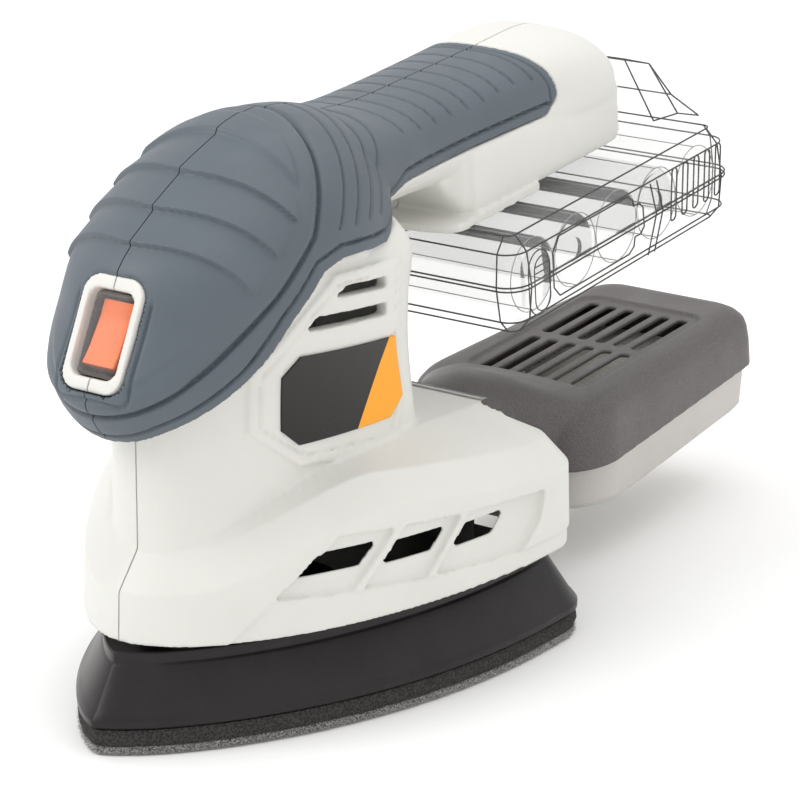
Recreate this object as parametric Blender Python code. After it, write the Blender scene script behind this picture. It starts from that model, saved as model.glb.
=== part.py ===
"""A cordless sander with an iron-shaped plate, a slide-on battery and a snap-on dust box.

The nose points to -Y, the handle runs to +Y and +Z is up. The sanding face lies at Z = 0 and
X = 0 is the plane where the two housing halves meet. Sizes are in millimetres, and the
mesh helpers turn them into metres.
"""
import math

import bmesh
import bpy
from mathutils import Matrix, Vector

MM = 0.001
GAP = 0.3                      # clearance between pieces that touch
WALL = 2.4                     # housing wall
GRIP_WALL = 2.6                # soft grip skin

# Sanding plate
SHEET_TOP = 2.0
FOAM_TOP = 6.0
PLATEN_RIM_TOP = 8.6
PLATEN_FOOT_TOP = 10.0
PLATEN_NECK = 19.0
PLATEN_TOP = 22.0
PLATE_HALF_WIDTH = 48.6
PLATE_TIP = -72.5
PLATE_WIDEST = 35.0
PLATE_REAR = 58.0
PLATE_CORNER = 13.0
PLATE_POWER = 0.74

# Base skirt
SKIRT_BOTTOM = 24.0
SKIRT_HALF_WIDTH = 48.0
SKIRT_TIP = -63.0
SKIRT_WIDEST = 40.0
SKIRT_REAR = 55.0
SKIRT_CORNER = 13.0
SKIRT_POWER = 0.55

NECK_POWER = 0.45

# Drive
AXIS_Y = -20.0                 # motor axis
THROW = 1.2                    # eccentric throw: the sheet orbits on a 2.4 mm circle
MOTOR_RADIUS = 18.0
MOTOR_BOTTOM = 64.0
MOTOR_TOP = 112.0

# Head: the side profile that is inflated to both sides
HEAD_HALF_WIDTH = 32.0
HEAD_CENTRE = (-20.0, 98.0)
HEAD_PROFILE = (
    (-52.0, 62.0), (-61.0, 68.5), (-67.5, 74.5), (-70.6, 80.5), (-70.4, 85.0), (-65.0, 96.0),
    (-59.8, 107.0), (-55.0, 112.3), (-47.5, 118.6), (-38.4, 125.0), (-27.0, 130.8),
    (-16.0, 134.4), (-3.0, 134.6), (9.0, 131.5), (17.0, 124.0), (19.0, 112.0), (13.0, 96.0),
    (-2.0, 80.0), (-20.0, 68.0), (-37.0, 61.5),
)

# Handle stations: y, bottom, top, half width
HANDLE = (
    (-4.0, 104.0, 132.0, 23.0), (10.0, 106.5, 130.8, 21.5), (24.0, 107.0, 130.3, 19.6),
    (42.0, 107.0, 131.8, 19.2), (60.0, 107.5, 133.6, 19.8), (78.0, 108.5, 135.5, 20.8),
    (90.0, 110.0, 136.8, 21.8), (99.0, 111.0, 136.4, 21.8), (105.0, 112.5, 133.5, 20.8),
    (108.0, 115.5, 129.0, 18.0),
)
HANDLE_SQUARENESS = 2.5

# Lower edge of the soft grip in the side view, nose to tail
GRIP_EDGE = (
    (-64.5, 70.5), (-61.5, 75.0), (-49.0, 85.5), (-37.0, 97.0), (-27.0, 105.5), (-20.0, 107.5),
    (-1.0, 106.6), (9.0, 109.5), (18.0, 115.0), (50.0, 118.0),
)
GRIP_END = 79.0

# Side outlines on the neck's flanks, as (y, z): the label, the raised panel and the cooling slots
LABEL = (
    (2.5, 64.0), (7.1, 68.1), (3.4, 83.3), (-27.3, 85.3), (-32.0, 81.2), (-32.0, 68.9),
    (-27.3, 64.7),
)
PANEL = (
    (5.6, 57.4), (9.0, 68.0), (3.0, 102.6), (-18.8, 102.6), (-39.5, 82.8), (-39.5, 69.7),
    (-26.5, 59.3),
)
NECK_SLOTS = (
    ((-18.9, 97.2), (-15.2, 99.2), (-2.0, 98.8), (-1.0, 95.9)),
    ((-26.0, 90.7), (-22.9, 93.6), (-0.4, 92.1), (0.2, 89.1)),
)

# The vent strip in the skirt: its side outline, and windows as front, rear, low, high
STRIP = ((-42.0, 33.0), (27.0, 28.5), (33.5, 34.0), (36.0, 41.0), (-27.0, 45.5))
WINDOWS = ((-32.5, -17.0, 37.3, 41.9), (-11.5, 2.5, 36.2, 40.8), (9.0, 22.0, 35.2, 39.8))
WINDOW_LEAN = 4.6
BARS = ((-11.7, -9.1, 28.0, 46.0), (8.9, 11.5, 28.0, 46.0))
BAR_LEAN = 16.2

# Switch panel on the head's front slope
PANEL_LOW = Vector((0.0, -70.4, 84.0))
PANEL_HIGH = Vector((0.0, -59.6, 107.0))
BEZEL = (16.6, 25.6)
WINDOW = (12.6, 19.4)

# Battery rail on the handle, and the pack: all of it follows the handle's rake
RAKE = math.radians(6.0)
RAIL_ORIGIN = Vector((0.0, 42.0, 99.0))
RAIL_LENGTH = 66.0
FLANGE_HALF_WIDTH = 21.0
FLANGE_TOP = 2.2
PACK_HALF_WIDTH = 36.5
PACK_FRONT = -4.0
PACK_REAR = 95.0
PACK_CORNER = 6.0
PACK_TOP = -0.4
PACK_SEAM = -12.4
PACK_BOTTOM = -24.4
PACK_WALL = 1.8
CELL_RADIUS = 9.1
CELL_LENGTH = 65.0
CELL_PITCH = 18.6
CELLS = 5
LATCH_Y = 5.0

# Dust box, drawn in its own frame: y along the port, z up, origin at the port's centre
PORT_CENTRE = Vector((0.0, 55.0, 36.0))
PORT_RADIUS = 10.0
BOX_TILT = math.radians(4.5)
BOX_FRONT = 24.0
BOX_REAR = 119.0
BOX_HALF_WIDTH = 30.0
LID_TOP = 5.5
LID_BOTTOM = -11.2
TRAY_TOP = -11.6
TRAY_BOTTOM = -25.0
TRAY_FRONT = 26.0
SOCKET_RADIUS = 15.8
SLOTS = 6
SLOT_ROWS = ((45.0, 70.0), (74.0, 99.0))
SLOT_PITCH = 5.6
SLOT_WIDTH = 3.0

# Rubber posts between housing and plate, and the housing screws as (y, z)
POSTS = ((0.0, -50.0), (-28.0, 28.0), (28.0, 28.0))
POST_RADIUS = 5.0
POST_LOW = 12.4
POST_HIGH = 37.6
POCKET_PLAY = 0.8
SCREWS = ((-47.0, 60.0), (12.0, 64.0), (41.0, 46.0), (26.0, 118.5), (92.0, 124.0))
SCREW_HEAD_RADIUS = 3.2
SCREW_SHANK_RADIUS = 1.6

# The curved shells meet at shallow angles, where the EXACT solver leaves open edges.
SOLVER = "MANIFOLD"


# ---------------------------------------------------------------- mesh helpers

def clear_scene():
    for obj in list(bpy.data.objects):
        bpy.data.objects.remove(obj, do_unlink=True)


def solid_from_rings(rings):
    """A closed solid skinned over rings with equal point counts."""
    mesh = bmesh.new()
    layers = [[mesh.verts.new(Vector(point) * MM) for point in ring] for ring in rings]
    count = len(layers[0])
    for lower, upper in zip(layers, layers[1:]):
        for i in range(count):
            j = (i + 1) % count
            mesh.faces.new((lower[i], lower[j], upper[j], upper[i]))
    mesh.faces.new(list(reversed(layers[0])))
    mesh.faces.new(layers[-1])
    bmesh.ops.recalc_face_normals(mesh, faces=mesh.faces)
    return mesh


def slab(outline, low, high):
    """A plan outline of (x, y) points between two heights."""
    return solid_from_rings([[(x, y, z) for x, y in outline] for z in (low, high)])


def side_prism(outline, low_x, high_x):
    """A side outline of (y, z) points between two x values."""
    return solid_from_rings([[(x, y, z) for y, z in outline] for x in (low_x, high_x)])


def box(low, high):
    outline = ((low[0], low[1]), (high[0], low[1]), (high[0], high[1]), (low[0], high[1]))
    return slab(outline, low[2], high[2])


def turned(profile, centre, direction=(0, 0, 1), segments=20):
    """A solid of revolution from (radius, height) points, bottom to top along the direction."""
    turn = Vector((0, 0, 1)).rotation_difference(Vector(direction)).to_matrix()
    centre = Vector(centre)
    rings = []
    for radius, height in profile:
        ring = []
        for i in range(segments):
            angle = 2 * math.pi * i / segments
            local = Vector((radius * math.cos(angle), radius * math.sin(angle), height))
            ring.append(centre + turn @ local)
        rings.append(ring)
    return solid_from_rings(rings)


def turned_tube(profile, centre, direction=(0, 0, 1), segments=20):
    """A ring-shaped solid: the closed (radius, height) profile turned about the direction."""
    turn = Vector((0, 0, 1)).rotation_difference(Vector(direction)).to_matrix()
    centre = Vector(centre)
    mesh = bmesh.new()
    layers = []
    for i in range(segments):
        angle = 2 * math.pi * i / segments
        layer = []
        for radius, height in profile:
            local = Vector((radius * math.cos(angle), radius * math.sin(angle), height))
            layer.append(mesh.verts.new((centre + turn @ local) * MM))
        layers.append(layer)
    count = len(profile)
    for i in range(segments):
        here = layers[i]
        there = layers[(i + 1) % segments]
        for j in range(count):
            k = (j + 1) % count
            mesh.faces.new((here[j], here[k], there[k], there[j]))
    bmesh.ops.recalc_face_normals(mesh, faces=mesh.faces)
    return mesh


def moved(mesh, matrix):
    """Turns a bmesh by a matrix whose translation is in millimetres."""
    scaled = matrix.copy()
    scaled.translation = matrix.translation * MM
    bmesh.ops.transform(mesh, matrix=scaled, verts=mesh.verts)
    return mesh


def body(mesh, name="helper"):
    """An object that holds the bmesh, hidden from the build until it is finished."""
    data = bpy.data.meshes.new(name)
    bmesh.ops.triangulate(mesh, faces=mesh.faces)
    mesh.to_mesh(data)
    mesh.free()
    obj = bpy.data.objects.new(name, data)
    bpy.context.scene.collection.objects.link(obj)
    obj.hide_render = True
    obj.display_type = "WIRE"
    return obj


def combine(target, tool, operation):
    """Applies one Boolean to the target and removes the tool."""
    modifier = target.modifiers.new("cut", "BOOLEAN")
    modifier.object = tool
    modifier.operation = operation
    modifier.solver = SOLVER
    bpy.context.view_layer.update()
    graph = bpy.context.evaluated_depsgraph_get()
    data = bpy.data.meshes.new_from_object(target.evaluated_get(graph))
    target.modifiers.clear()
    mesh = bmesh.new()
    mesh.from_mesh(data)
    bmesh.ops.triangulate(mesh, faces=mesh.faces)
    mesh.to_mesh(data)
    mesh.free()
    target.data = data
    bpy.data.objects.remove(tool, do_unlink=True)
    return target


def copy_of(obj):
    twin = bpy.data.objects.new("copy", obj.data.copy())
    bpy.context.scene.collection.objects.link(twin)
    twin.hide_render = True
    twin.display_type = "WIRE"
    return twin


def joined(first, *others):
    for other in others:
        combine(first, other, "UNION")
    return first


def minus(first, *others):
    for other in others:
        combine(first, other, "DIFFERENCE")
    return first


def within(first, other):
    return combine(first, other, "INTERSECT")


MATERIALS = {
    "white_abs": ((0.78, 0.78, 0.75), 0.42, 0.0),
    "soft_grip": ((0.19, 0.23, 0.27), 0.62, 0.0),
    "label_black": ((0.03, 0.03, 0.03), 0.35, 0.0),
    "rocker_orange": ((0.80, 0.18, 0.04), 0.35, 0.0),
    "clear_cover": ((0.80, 0.82, 0.82), 0.15, 0.0),
    "black_plastic": ((0.03, 0.028, 0.03), 0.38, 0.0),
    "steel": ((0.55, 0.55, 0.56), 0.3, 1.0),
    "zinc": ((0.45, 0.45, 0.46), 0.45, 1.0),
    "copper": ((0.72, 0.35, 0.18), 0.35, 1.0),
    "rubber": ((0.03, 0.03, 0.03), 0.8, 0.0),
    "foam": ((0.06, 0.055, 0.055), 0.95, 0.0),
    "hook_layer": ((0.10, 0.10, 0.10), 0.95, 0.0),
    "lid_grey": ((0.17, 0.155, 0.155), 0.5, 0.0),
    "tray_clear": ((0.80, 0.76, 0.73), 0.35, 0.0),
    "pack_clear": ((0.75, 0.76, 0.76), 0.2, 0.0),
    "cell_wrap": ((0.70, 0.72, 0.72), 0.35, 0.0),
    "board_green": ((0.03, 0.16, 0.07), 0.5, 0.0),
    "filter_cloth": ((0.75, 0.74, 0.70), 0.95, 0.0),
}


def material_for(node, kind):
    colour, roughness, metallic = MATERIALS[kind]
    material = bpy.data.materials.new(node + "_" + kind)
    material.use_nodes = True
    shader = material.node_tree.nodes["Principled BSDF"]
    shader.inputs["Base Color"].default_value = (*colour, 1.0)
    shader.inputs["Roughness"].default_value = roughness
    shader.inputs["Metallic"].default_value = metallic
    return material


def finish(obj, name, kind, pivot=(0.0, 0.0, 0.0), sharp=35.0):
    """Names the object, gives it its material and puts its origin on the pivot."""
    obj.name = name
    obj.data.name = name
    obj.hide_render = False
    obj.display_type = "TEXTURED"
    obj.data.materials.clear()
    obj.data.materials.append(material_for(name, kind))
    shift = Vector(pivot) * MM
    obj.data.transform(Matrix.Translation(-shift))
    obj.location = shift
    obj.data.shade_smooth()
    obj.data.set_sharp_from_angle(angle=math.radians(sharp))
    return obj


def half_of(obj, side):
    """The part of the object on one side of the seam plane; side is -1 or +1."""
    near, far = GAP / 2, 120.0
    low_x, high_x = sorted((side * near, side * far))
    return within(obj, body(box((low_x, -150, -20), (high_x, 250, 200))))


# ------------------------------------------------------------------- outlines

def iron_outline(half_width, tip, widest, rear, corner, power, steps=10):
    """Plan outline of an iron: a nose that swells to the widest line, then rounded rear corners."""
    right = []
    for i in range(1, steps + 1):
        turn = 0.5 * math.pi * i / steps
        x = half_width * math.sin(turn) ** (2 * power)
        right.append((x, widest - (widest - tip) * math.cos(turn)))
    for i in range(5):
        turn = 0.5 * math.pi * i / 4
        x = half_width - corner + corner * math.cos(turn)
        right.append((x, rear - corner + corner * math.sin(turn)))
    left = [(-x, y) for x, y in reversed(right)]
    return [(0.0, tip)] + right + left


def superellipse(half_width, low, high, power, steps=24):
    """Points (x, z) of a rounded cross section between two heights."""
    middle = (low + high) / 2
    half_height = (high - low) / 2
    points = []
    for i in range(steps):
        turn = 2 * math.pi * i / steps
        x = math.copysign(abs(math.cos(turn)) ** (2 / power), math.cos(turn))
        z = math.copysign(abs(math.sin(turn)) ** (2 / power), math.sin(turn))
        points.append((half_width * x, middle + half_height * z))
    return points


def smooth_loop(points, steps=2):
    """A closed Catmull-Rom curve through the points."""
    result = []
    count = len(points)
    for i in range(count):
        a, b, c, d = (Vector(points[(i + k) % count]) for k in (-1, 0, 1, 2))
        for j in range(steps):
            t = j / steps
            result.append(0.5 * (
                2 * b + (c - a) * t + (2 * a - 5 * b + 4 * c - d) * t * t
                + (3 * b - a - 3 * c + d) * t ** 3
            ))
    return result


def rounded_box(half_x, low_y, high_y, corner, steps=4):
    """Plan outline of a box with rounded corners."""
    points = []
    corners = (
        (half_x - corner, high_y - corner, 0), (-half_x + corner, high_y - corner, 1),
        (-half_x + corner, low_y + corner, 2), (half_x - corner, low_y + corner, 3),
    )
    for x, y, quarter in corners:
        for i in range(steps + 1):
            turn = 0.5 * math.pi * (quarter + i / steps)
            points.append((x + corner * math.cos(turn), y + corner * math.sin(turn)))
    return points


# -------------------------------------------------------------------- housing

def crease_height(y):
    """Height of the skirt's shoulder: low at the nose, high at mid side, lower at the rear."""
    if y < -14.0:
        share = max(0.0, min(1.0, (y + 62.0) / 48.0))
        return 35.5 + 14.5 * share * share * (3 - 2 * share)
    return 50.0 - 6.0 * min(1.0, (y + 14.0) / 50.0)


def skirt_outline(inset, steps):
    return iron_outline(
        SKIRT_HALF_WIDTH - inset, SKIRT_TIP + inset, SKIRT_WIDEST, SKIRT_REAR - inset,
        max(2.0, SKIRT_CORNER - inset), SKIRT_POWER, steps,
    )


def skirt_solid(inset, bottom, steps=9):
    """The base: an upright wall, a chamfered shoulder and a top that rises to the neck."""
    wall = skirt_outline(inset, steps)
    brow = skirt_outline(inset + 0.6, steps)
    shoulder = skirt_outline(inset + 6.5, steps)
    crown = skirt_outline(inset + 20.0, steps)
    rings = [[(x, y, bottom) for x, y in wall]]
    rings.append([(x, y, crease_height(y) - 0.6 * inset) for x, y in brow])
    rings.append([(x, y, crease_height(y) + 6.8 - inset) for x, y in shoulder])
    rings.append([(x, y, 59.0 - inset) for x, y in crown])
    return body(solid_from_rings(rings))


def neck_solid(inset, steps=8):
    """The waist between base and head: a blunt nose, flat flanks and a rounded rear."""
    stations = (
        (42.0, 25.5, -55.8, 22.0), (58.0, 25.3, -55.6, 19.8), (78.0, 25.5, -55.4, 16.5),
        (92.0, 27.0, -55.0, 14.5), (103.0, 28.4, -52.0, 13.8), (109.6, 25.0, -46.0, 11.0),
    )
    rings = []
    for z, half_width, tip, rear in stations:
        outline = iron_outline(
            half_width - inset, tip + inset, 2.0, rear - inset, max(2.0, 8.0 - inset),
            NECK_POWER, steps,
        )
        rings.append([(x, y, z) for x, y in outline])
    return body(solid_from_rings(rings))


def head_solid(inset, steps=1):
    """The head: its side profile shrinks towards each flank like an ellipsoid."""
    profile = smooth_loop(HEAD_PROFILE, steps)
    centre = Vector(HEAD_CENTRE)
    size = 1.0 - inset / 41.0
    half_width = HEAD_HALF_WIDTH - inset
    rings = []
    for degrees in (-84, -72, -58, -44, -30, -15, 0, 15, 30, 44, 58, 72, 84):
        turn = math.radians(degrees)
        scale = size * math.cos(turn) ** 0.9
        points = [centre + (point - centre) * scale for point in profile]
        rings.append([(half_width * math.sin(turn), y, z) for y, z in points])
    return body(solid_from_rings(rings))


def handle_solid(inset, steps=20):
    rings = []
    last = len(HANDLE) - 1
    for index, (y, low, high, half_width) in enumerate(HANDLE):
        along = y - inset if index == last else y
        section = superellipse(
            half_width - inset, low + inset, high - inset, HANDLE_SQUARENESS, steps
        )
        rings.append([(x, along, z) for x, z in section])
    return body(solid_from_rings(rings))


def on_rake(mesh):
    """Places a shape drawn in the rail's own frame: y along the rail, z out of the handle."""
    turn = Matrix.Rotation(RAKE, 4, "X")
    turn.translation = RAIL_ORIGIN
    return moved(mesh, turn)


def rail_solid():
    """The straight underside of the handle that carries the battery rails."""
    rings = []
    stations = (
        (-4.0, 11.0, 15.5), (-1.0, 6.0, 16.5), (3.0, 0.5, 19.0), (12.0, 0.0, 20.6),
        (RAIL_LENGTH - 4.0, 0.0, 20.8), (RAIL_LENGTH, 0.6, 20.4),
    )
    for y, low, half_width in stations:
        section = superellipse(half_width, low, 20.0, 6.0, 20)
        rings.append([(x, y, z) for x, z in section])
    return body(on_rake(solid_from_rings(rings)))


def rail_flange(steps=12):
    """The thin plate at the rail's foot, with a front edge that bows forward."""
    outline = [(FLANGE_HALF_WIDTH, 30.0), (-FLANGE_HALF_WIDTH, 30.0)]
    for i in range(steps + 1):
        turn = math.pi * i / steps
        outline.append((-FLANGE_HALF_WIDTH * math.cos(turn), -2.6 - 6.0 * math.sin(turn)))
    return body(on_rake(slab(outline, 0.0, FLANGE_TOP)))


def grip_zone(clearance):
    """Everything above the soft grip's lower edge and ahead of its tail."""
    edge = [(y, z - clearance) for y, z in GRIP_EDGE]
    end = GRIP_END + clearance
    outline = [(-95.0, edge[0][1] - 4.0)] + edge
    outline += [(end - 4.0, 120.2 - clearance), (end, 124.0 - clearance), (end, 170.0)]
    outline += [(-95.0, 170.0)]
    return body(side_prism(outline, -60.0, 60.0))


def panel_frame():
    """The switch panel's frame: x across, y up the slope, z out of the head."""
    up = (PANEL_HIGH - PANEL_LOW).normalized()
    out = Vector((1, 0, 0)).cross(up)
    frame = Matrix((
        (1, 0, 0, 0), (0, up.y, out.y, 0), (0, up.z, out.z, 0), (0, 0, 0, 1)
    ))
    frame.translation = (PANEL_LOW + PANEL_HIGH) / 2
    return frame


def on_panel(mesh):
    return body(moved(mesh, panel_frame()))


def panel_block(width, height, low, high, corner):
    return on_panel(slab(rounded_box(width / 2, -height / 2, height / 2, corner), low, high))


def slanted(front, rear, low, high, lean):
    """A prism across the skirt whose side outline leans forward at its foot."""
    outline = ((front - lean, low), (rear - lean, low), (rear, high), (front, high))
    return body(side_prism(outline, -60.0, 60.0))


def port_cylinder(radius, low, high, segments=24):
    """A cylinder on the dust port's axis between two distances from the port's centre."""
    profile = ((radius, low), (radius, high))
    along = Vector((0, math.cos(BOX_TILT), math.sin(BOX_TILT)))
    return body(turned(profile, PORT_CENTRE, along, segments))


def outer_shape():
    """The housing's outside, with the grip's room cut away."""
    core = joined(head_solid(GRIP_WALL + GAP / 2), handle_solid(GRIP_WALL + GAP / 2))
    core = within(core, grip_zone(2.0))
    lower_handle = minus(handle_solid(0.0), grip_zone(GAP))
    shape = joined(skirt_solid(0.0, SKIRT_BOTTOM), neck_solid(0.0), core)
    shape = joined(shape, lower_handle, rail_solid(), rail_flange())
    grip_room = joined(head_solid(-1.2), handle_solid(-GAP))
    grip_room = within(grip_room, grip_zone(GAP))
    grip_room = minus(grip_room, head_solid(GRIP_WALL), handle_solid(GRIP_WALL))
    shape = minus(shape, grip_room)
    shape = joined(shape, within(neck_solid(-0.8), body(side_prism(PANEL, -45.0, 45.0))))
    shape = joined(shape, port_cylinder(PORT_RADIUS, -8.0, 12.0))
    return joined(shape, panel_block(*BEZEL, -9.0, 0.6, 3.0))


def inner_room():
    """The hollow inside: skirt, neck, head above the grip's edge, and handle."""
    head_room = within(head_solid(GRIP_WALL + WALL), grip_zone(-1.6))
    return joined(
        skirt_solid(WALL, SKIRT_BOTTOM - 10.0, 6), neck_solid(WALL, 6), head_room,
        handle_solid(GRIP_WALL + WALL, 12),
    )


def bosses():
    """Pillars inside the shell: above each rubber post, and around each housing screw."""
    pillars = []
    for x, y in POSTS:
        pillar = body(turned(((7.0, POST_HIGH + GAP), (7.0, 62.0)), (x, y, 0.0), segments=16))
        pillars.append(within(pillar, joined(skirt_solid(0.8, 20.0, 6), neck_solid(0.8, 6))))
    for y, z in SCREWS:
        pillar = body(turned(((4.8, -30.0), (4.8, 30.0)), (0.0, y, z), (1, 0, 0), 16))
        if z < 60.0:
            room = skirt_solid(0.8, 20.0, 6)
        elif z < 100.0:
            room = neck_solid(0.8, 6)
        else:
            room = handle_solid(GRIP_WALL + 0.9)
        pillars.append(within(pillar, room))
    return pillars


def housing():
    """Both halves as one shell, before it is parted along the seam."""
    shell = minus(outer_shape(), inner_room())
    shell = joined(shell, *bosses())
    for y, z in SCREWS:
        hole = body(turned(((SCREW_SHANK_RADIUS + GAP, -60.0), (SCREW_SHANK_RADIUS + GAP, 13.0)),
                           (0.0, y, z), (1, 0, 0), 12))
        sink = body(turned(((SCREW_HEAD_RADIUS + 0.5, -60.0), (SCREW_HEAD_RADIUS + 0.5, -6.0)),
                           (0.0, y, z), (1, 0, 0), 12))
        shell = minus(shell, hole, sink)
    shell = minus(shell, port_cylinder(PORT_RADIUS - 1.8, -14.0, 14.0, 20))
    shell = minus(shell, panel_block(*WINDOW, -20.0, 5.0, 1.6))
    shell = minus(shell, rail_channel())
    return vented(shell)


def rail_channel():
    """The T-shaped channel that takes the battery's tongue, open at the rear."""
    neck = box((-9.0, 8.0, -3.0), (9.0, RAIL_LENGTH + 5.0, 4.0))
    head = box((-13.0, 8.0, 3.4), (13.0, RAIL_LENGTH + 5.0, 9.0))
    return joined(body(on_rake(neck)), body(on_rake(head)))


def vented(shell):
    """Cooling slots in the neck and the louvred strip in the skirt."""
    for outline in NECK_SLOTS:
        shell = minus(shell, body(side_prism(outline, -45.0, 45.0)))
    recess = within(skirt_solid(-1.0, 22.0), body(side_prism(STRIP, -60.0, 60.0)))
    recess = minus(recess, skirt_solid(1.2, 20.0))
    for bar in BARS:
        recess = minus(recess, slanted(*bar, BAR_LEAN))
    shell = minus(shell, recess)
    for window in WINDOWS:
        shell = minus(shell, slanted(*window, WINDOW_LEAN))
    return shell


def make_housing():
    shell = housing()
    finish(half_of(copy_of(shell), -1), "housing_left", "white_abs")
    finish(half_of(shell, 1), "housing_right", "white_abs")
    for index, (y, z) in enumerate(SCREWS):
        head = body(turned(((SCREW_HEAD_RADIUS, -8.6), (SCREW_HEAD_RADIUS, -6.3)),
                           (0.0, y, z), (1, 0, 0), 12))
        shank = body(turned(((SCREW_SHANK_RADIUS, -7.0), (SCREW_SHANK_RADIUS, 12.5)),
                            (0.0, y, z), (1, 0, 0), 12))
        finish(joined(head, shank), f"housing_screw_{index + 1}", "steel")


def make_grips():
    skin = joined(head_solid(0.0, 2), handle_solid(0.0, 20))
    skin = within(skin, grip_zone(0.0))
    skin = minus(skin, head_solid(GRIP_WALL - GAP / 2), handle_solid(GRIP_WALL - GAP / 2))
    skin = minus(skin, neck_solid(-GAP))
    width, height = BEZEL
    skin = minus(skin, panel_block(width + 2 * GAP, height + 2 * GAP, -12.0, 4.0, 3.2))
    finish(half_of(copy_of(skin), -1), "grip_left", "soft_grip")
    finish(half_of(skin, 1), "grip_right", "soft_grip")


def make_labels():
    plates = minus(neck_solid(-1.7), neck_solid(-1.1))
    plates = within(plates, body(side_prism(LABEL, -45.0, 45.0)))
    finish(half_of(copy_of(plates), -1), "label_left", "label_black")
    finish(half_of(plates, 1), "label_right", "label_black")


# --------------------------------------------------------------------- switch

ROCKER_PIVOT = Vector((0.0, 0.0, -5.0))
ROCKER_TILT = math.radians(8.0)


def make_switch():
    shell = panel_block(11.8, 18.6, -17.0, -1.6, 1.2)
    shell = minus(shell, panel_block(9.6, 16.8, -9.0, 0.0, 0.8))
    finish(shell, "switch_body", "black_plastic")
    cover = panel_block(12.0, 18.8, -1.2, 2.6, 1.4)
    cover = minus(cover, panel_block(10.0, 16.8, -3.0, 1.8, 0.8))
    finish(cover, "switch_cover", "clear_cover")
    outline = ((-7.2, -7.6), (7.2, -7.6), (7.2, -1.7), (0.0, -2.4), (-7.2, -1.7))
    rocker = side_prism(outline, -4.3, 4.3)
    turn = Matrix.Translation(ROCKER_PIVOT) @ Matrix.Rotation(-ROCKER_TILT, 4, "X")
    rocker = moved(rocker, turn @ Matrix.Translation(-ROCKER_PIVOT))
    pivot = panel_frame() @ ROCKER_PIVOT
    finish(on_panel(rocker), "switch_rocker", "rocker_orange", pivot)


# ---------------------------------------------------------------------- drive

AXIS = Vector((0.0, AXIS_Y, 0.0))
PLATE_AXIS = Vector((0.0, AXIS_Y + THROW, 0.0))


def make_motor():
    radius = MOTOR_RADIUS
    low, high = MOTOR_BOTTOM, MOTOR_TOP
    can = ((4.0, low), (radius, low), (radius, high - 8.0), (radius - 1.4, high - 8.0),
           (radius - 1.4, low + 1.6), (4.0, low + 1.6))
    finish(body(turned_tube(can, AXIS)), "motor_can", "steel")
    cap = ((4.0, high - 7.6), (radius, high - 7.6), (radius, high - 3.0), (12.0, high),
           (4.0, high))
    finish(body(turned_tube(cap, AXIS)), "motor_end_cap", "black_plastic")
    magnets = ((13.6, low + 6.0), (radius - 1.7, low + 6.0), (radius - 1.7, high - 12.0),
               (13.6, high - 12.0))
    finish(body(turned_tube(magnets, AXIS)), "motor_magnets", "rubber")
    plate = ((5.0, low - 4.0), (20.0, low - 4.0), (20.0, low - GAP), (5.0, low - GAP))
    finish(body(turned_tube(plate, AXIS)), "motor_plate", "zinc")
    shaft = ((2.5, 27.0), (2.5, low + 8.0), (13.0, low + 8.0), (13.0, high - 14.0),
             (6.0, high - 14.0), (6.0, high - 9.0), (2.5, high - 9.0), (2.5, high + 2.0))
    finish(body(turned(shaft, AXIS, segments=20)), "rotor_shaft", "copper", AXIS)


def make_fan():
    disc = ((2.8, 42.0), (7.0, 42.0), (7.0, 49.2), (22.0, 49.2), (22.0, 51.0), (2.8, 51.0))
    fan = body(turned_tube(disc, AXIS, segments=24))
    for index in range(10):
        blade = box((7.5, -0.8, 43.0), (21.5, 0.8, 49.8))
        turn = Matrix.Rotation(2 * math.pi * index / 10, 4, "Z")
        turn.translation = AXIS
        fan = joined(fan, body(moved(blade, turn)))
    finish(fan, "cooling_fan", "black_plastic", AXIS)


def make_eccentric():
    """The crank under the motor: its pin sits off the axis, its weight on the other side."""
    hub = body(turned(((7.0, 25.0), (7.0, 38.0)), AXIS, segments=20))
    weight = body(turned(((15.0, 31.0), (15.0, 37.0)), AXIS, segments=24))
    weight = within(weight, body(box((-30.0, AXIS_Y - 30.0, 20.0), (30.0, AXIS_Y - 1.0, 50.0))))
    pin = body(turned(((3.7, 15.9), (3.7, 26.0)), PLATE_AXIS, segments=20))
    crank = joined(hub, weight, pin)
    crank = minus(crank, body(turned(((2.8, 26.6), (2.8, 45.0)), AXIS, segments=20)))
    crank = minus(crank, body(turned(((2.2, 10.0), (2.2, 24.0)), PLATE_AXIS, segments=16)))
    finish(crank, "eccentric", "zinc", AXIS)
    screw = ((5.2, 12.4), (5.2, 15.5), (1.8, 15.5), (1.8, 23.4))
    finish(body(turned(screw, PLATE_AXIS, segments=16)), "plate_screw", "steel", AXIS)


# ---------------------------------------------------------------------- plate

def plate_outline(inset):
    return iron_outline(
        PLATE_HALF_WIDTH - inset, PLATE_TIP + inset, PLATE_WIDEST, PLATE_REAR - inset,
        PLATE_CORNER - inset, PLATE_POWER, 12,
    )


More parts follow.
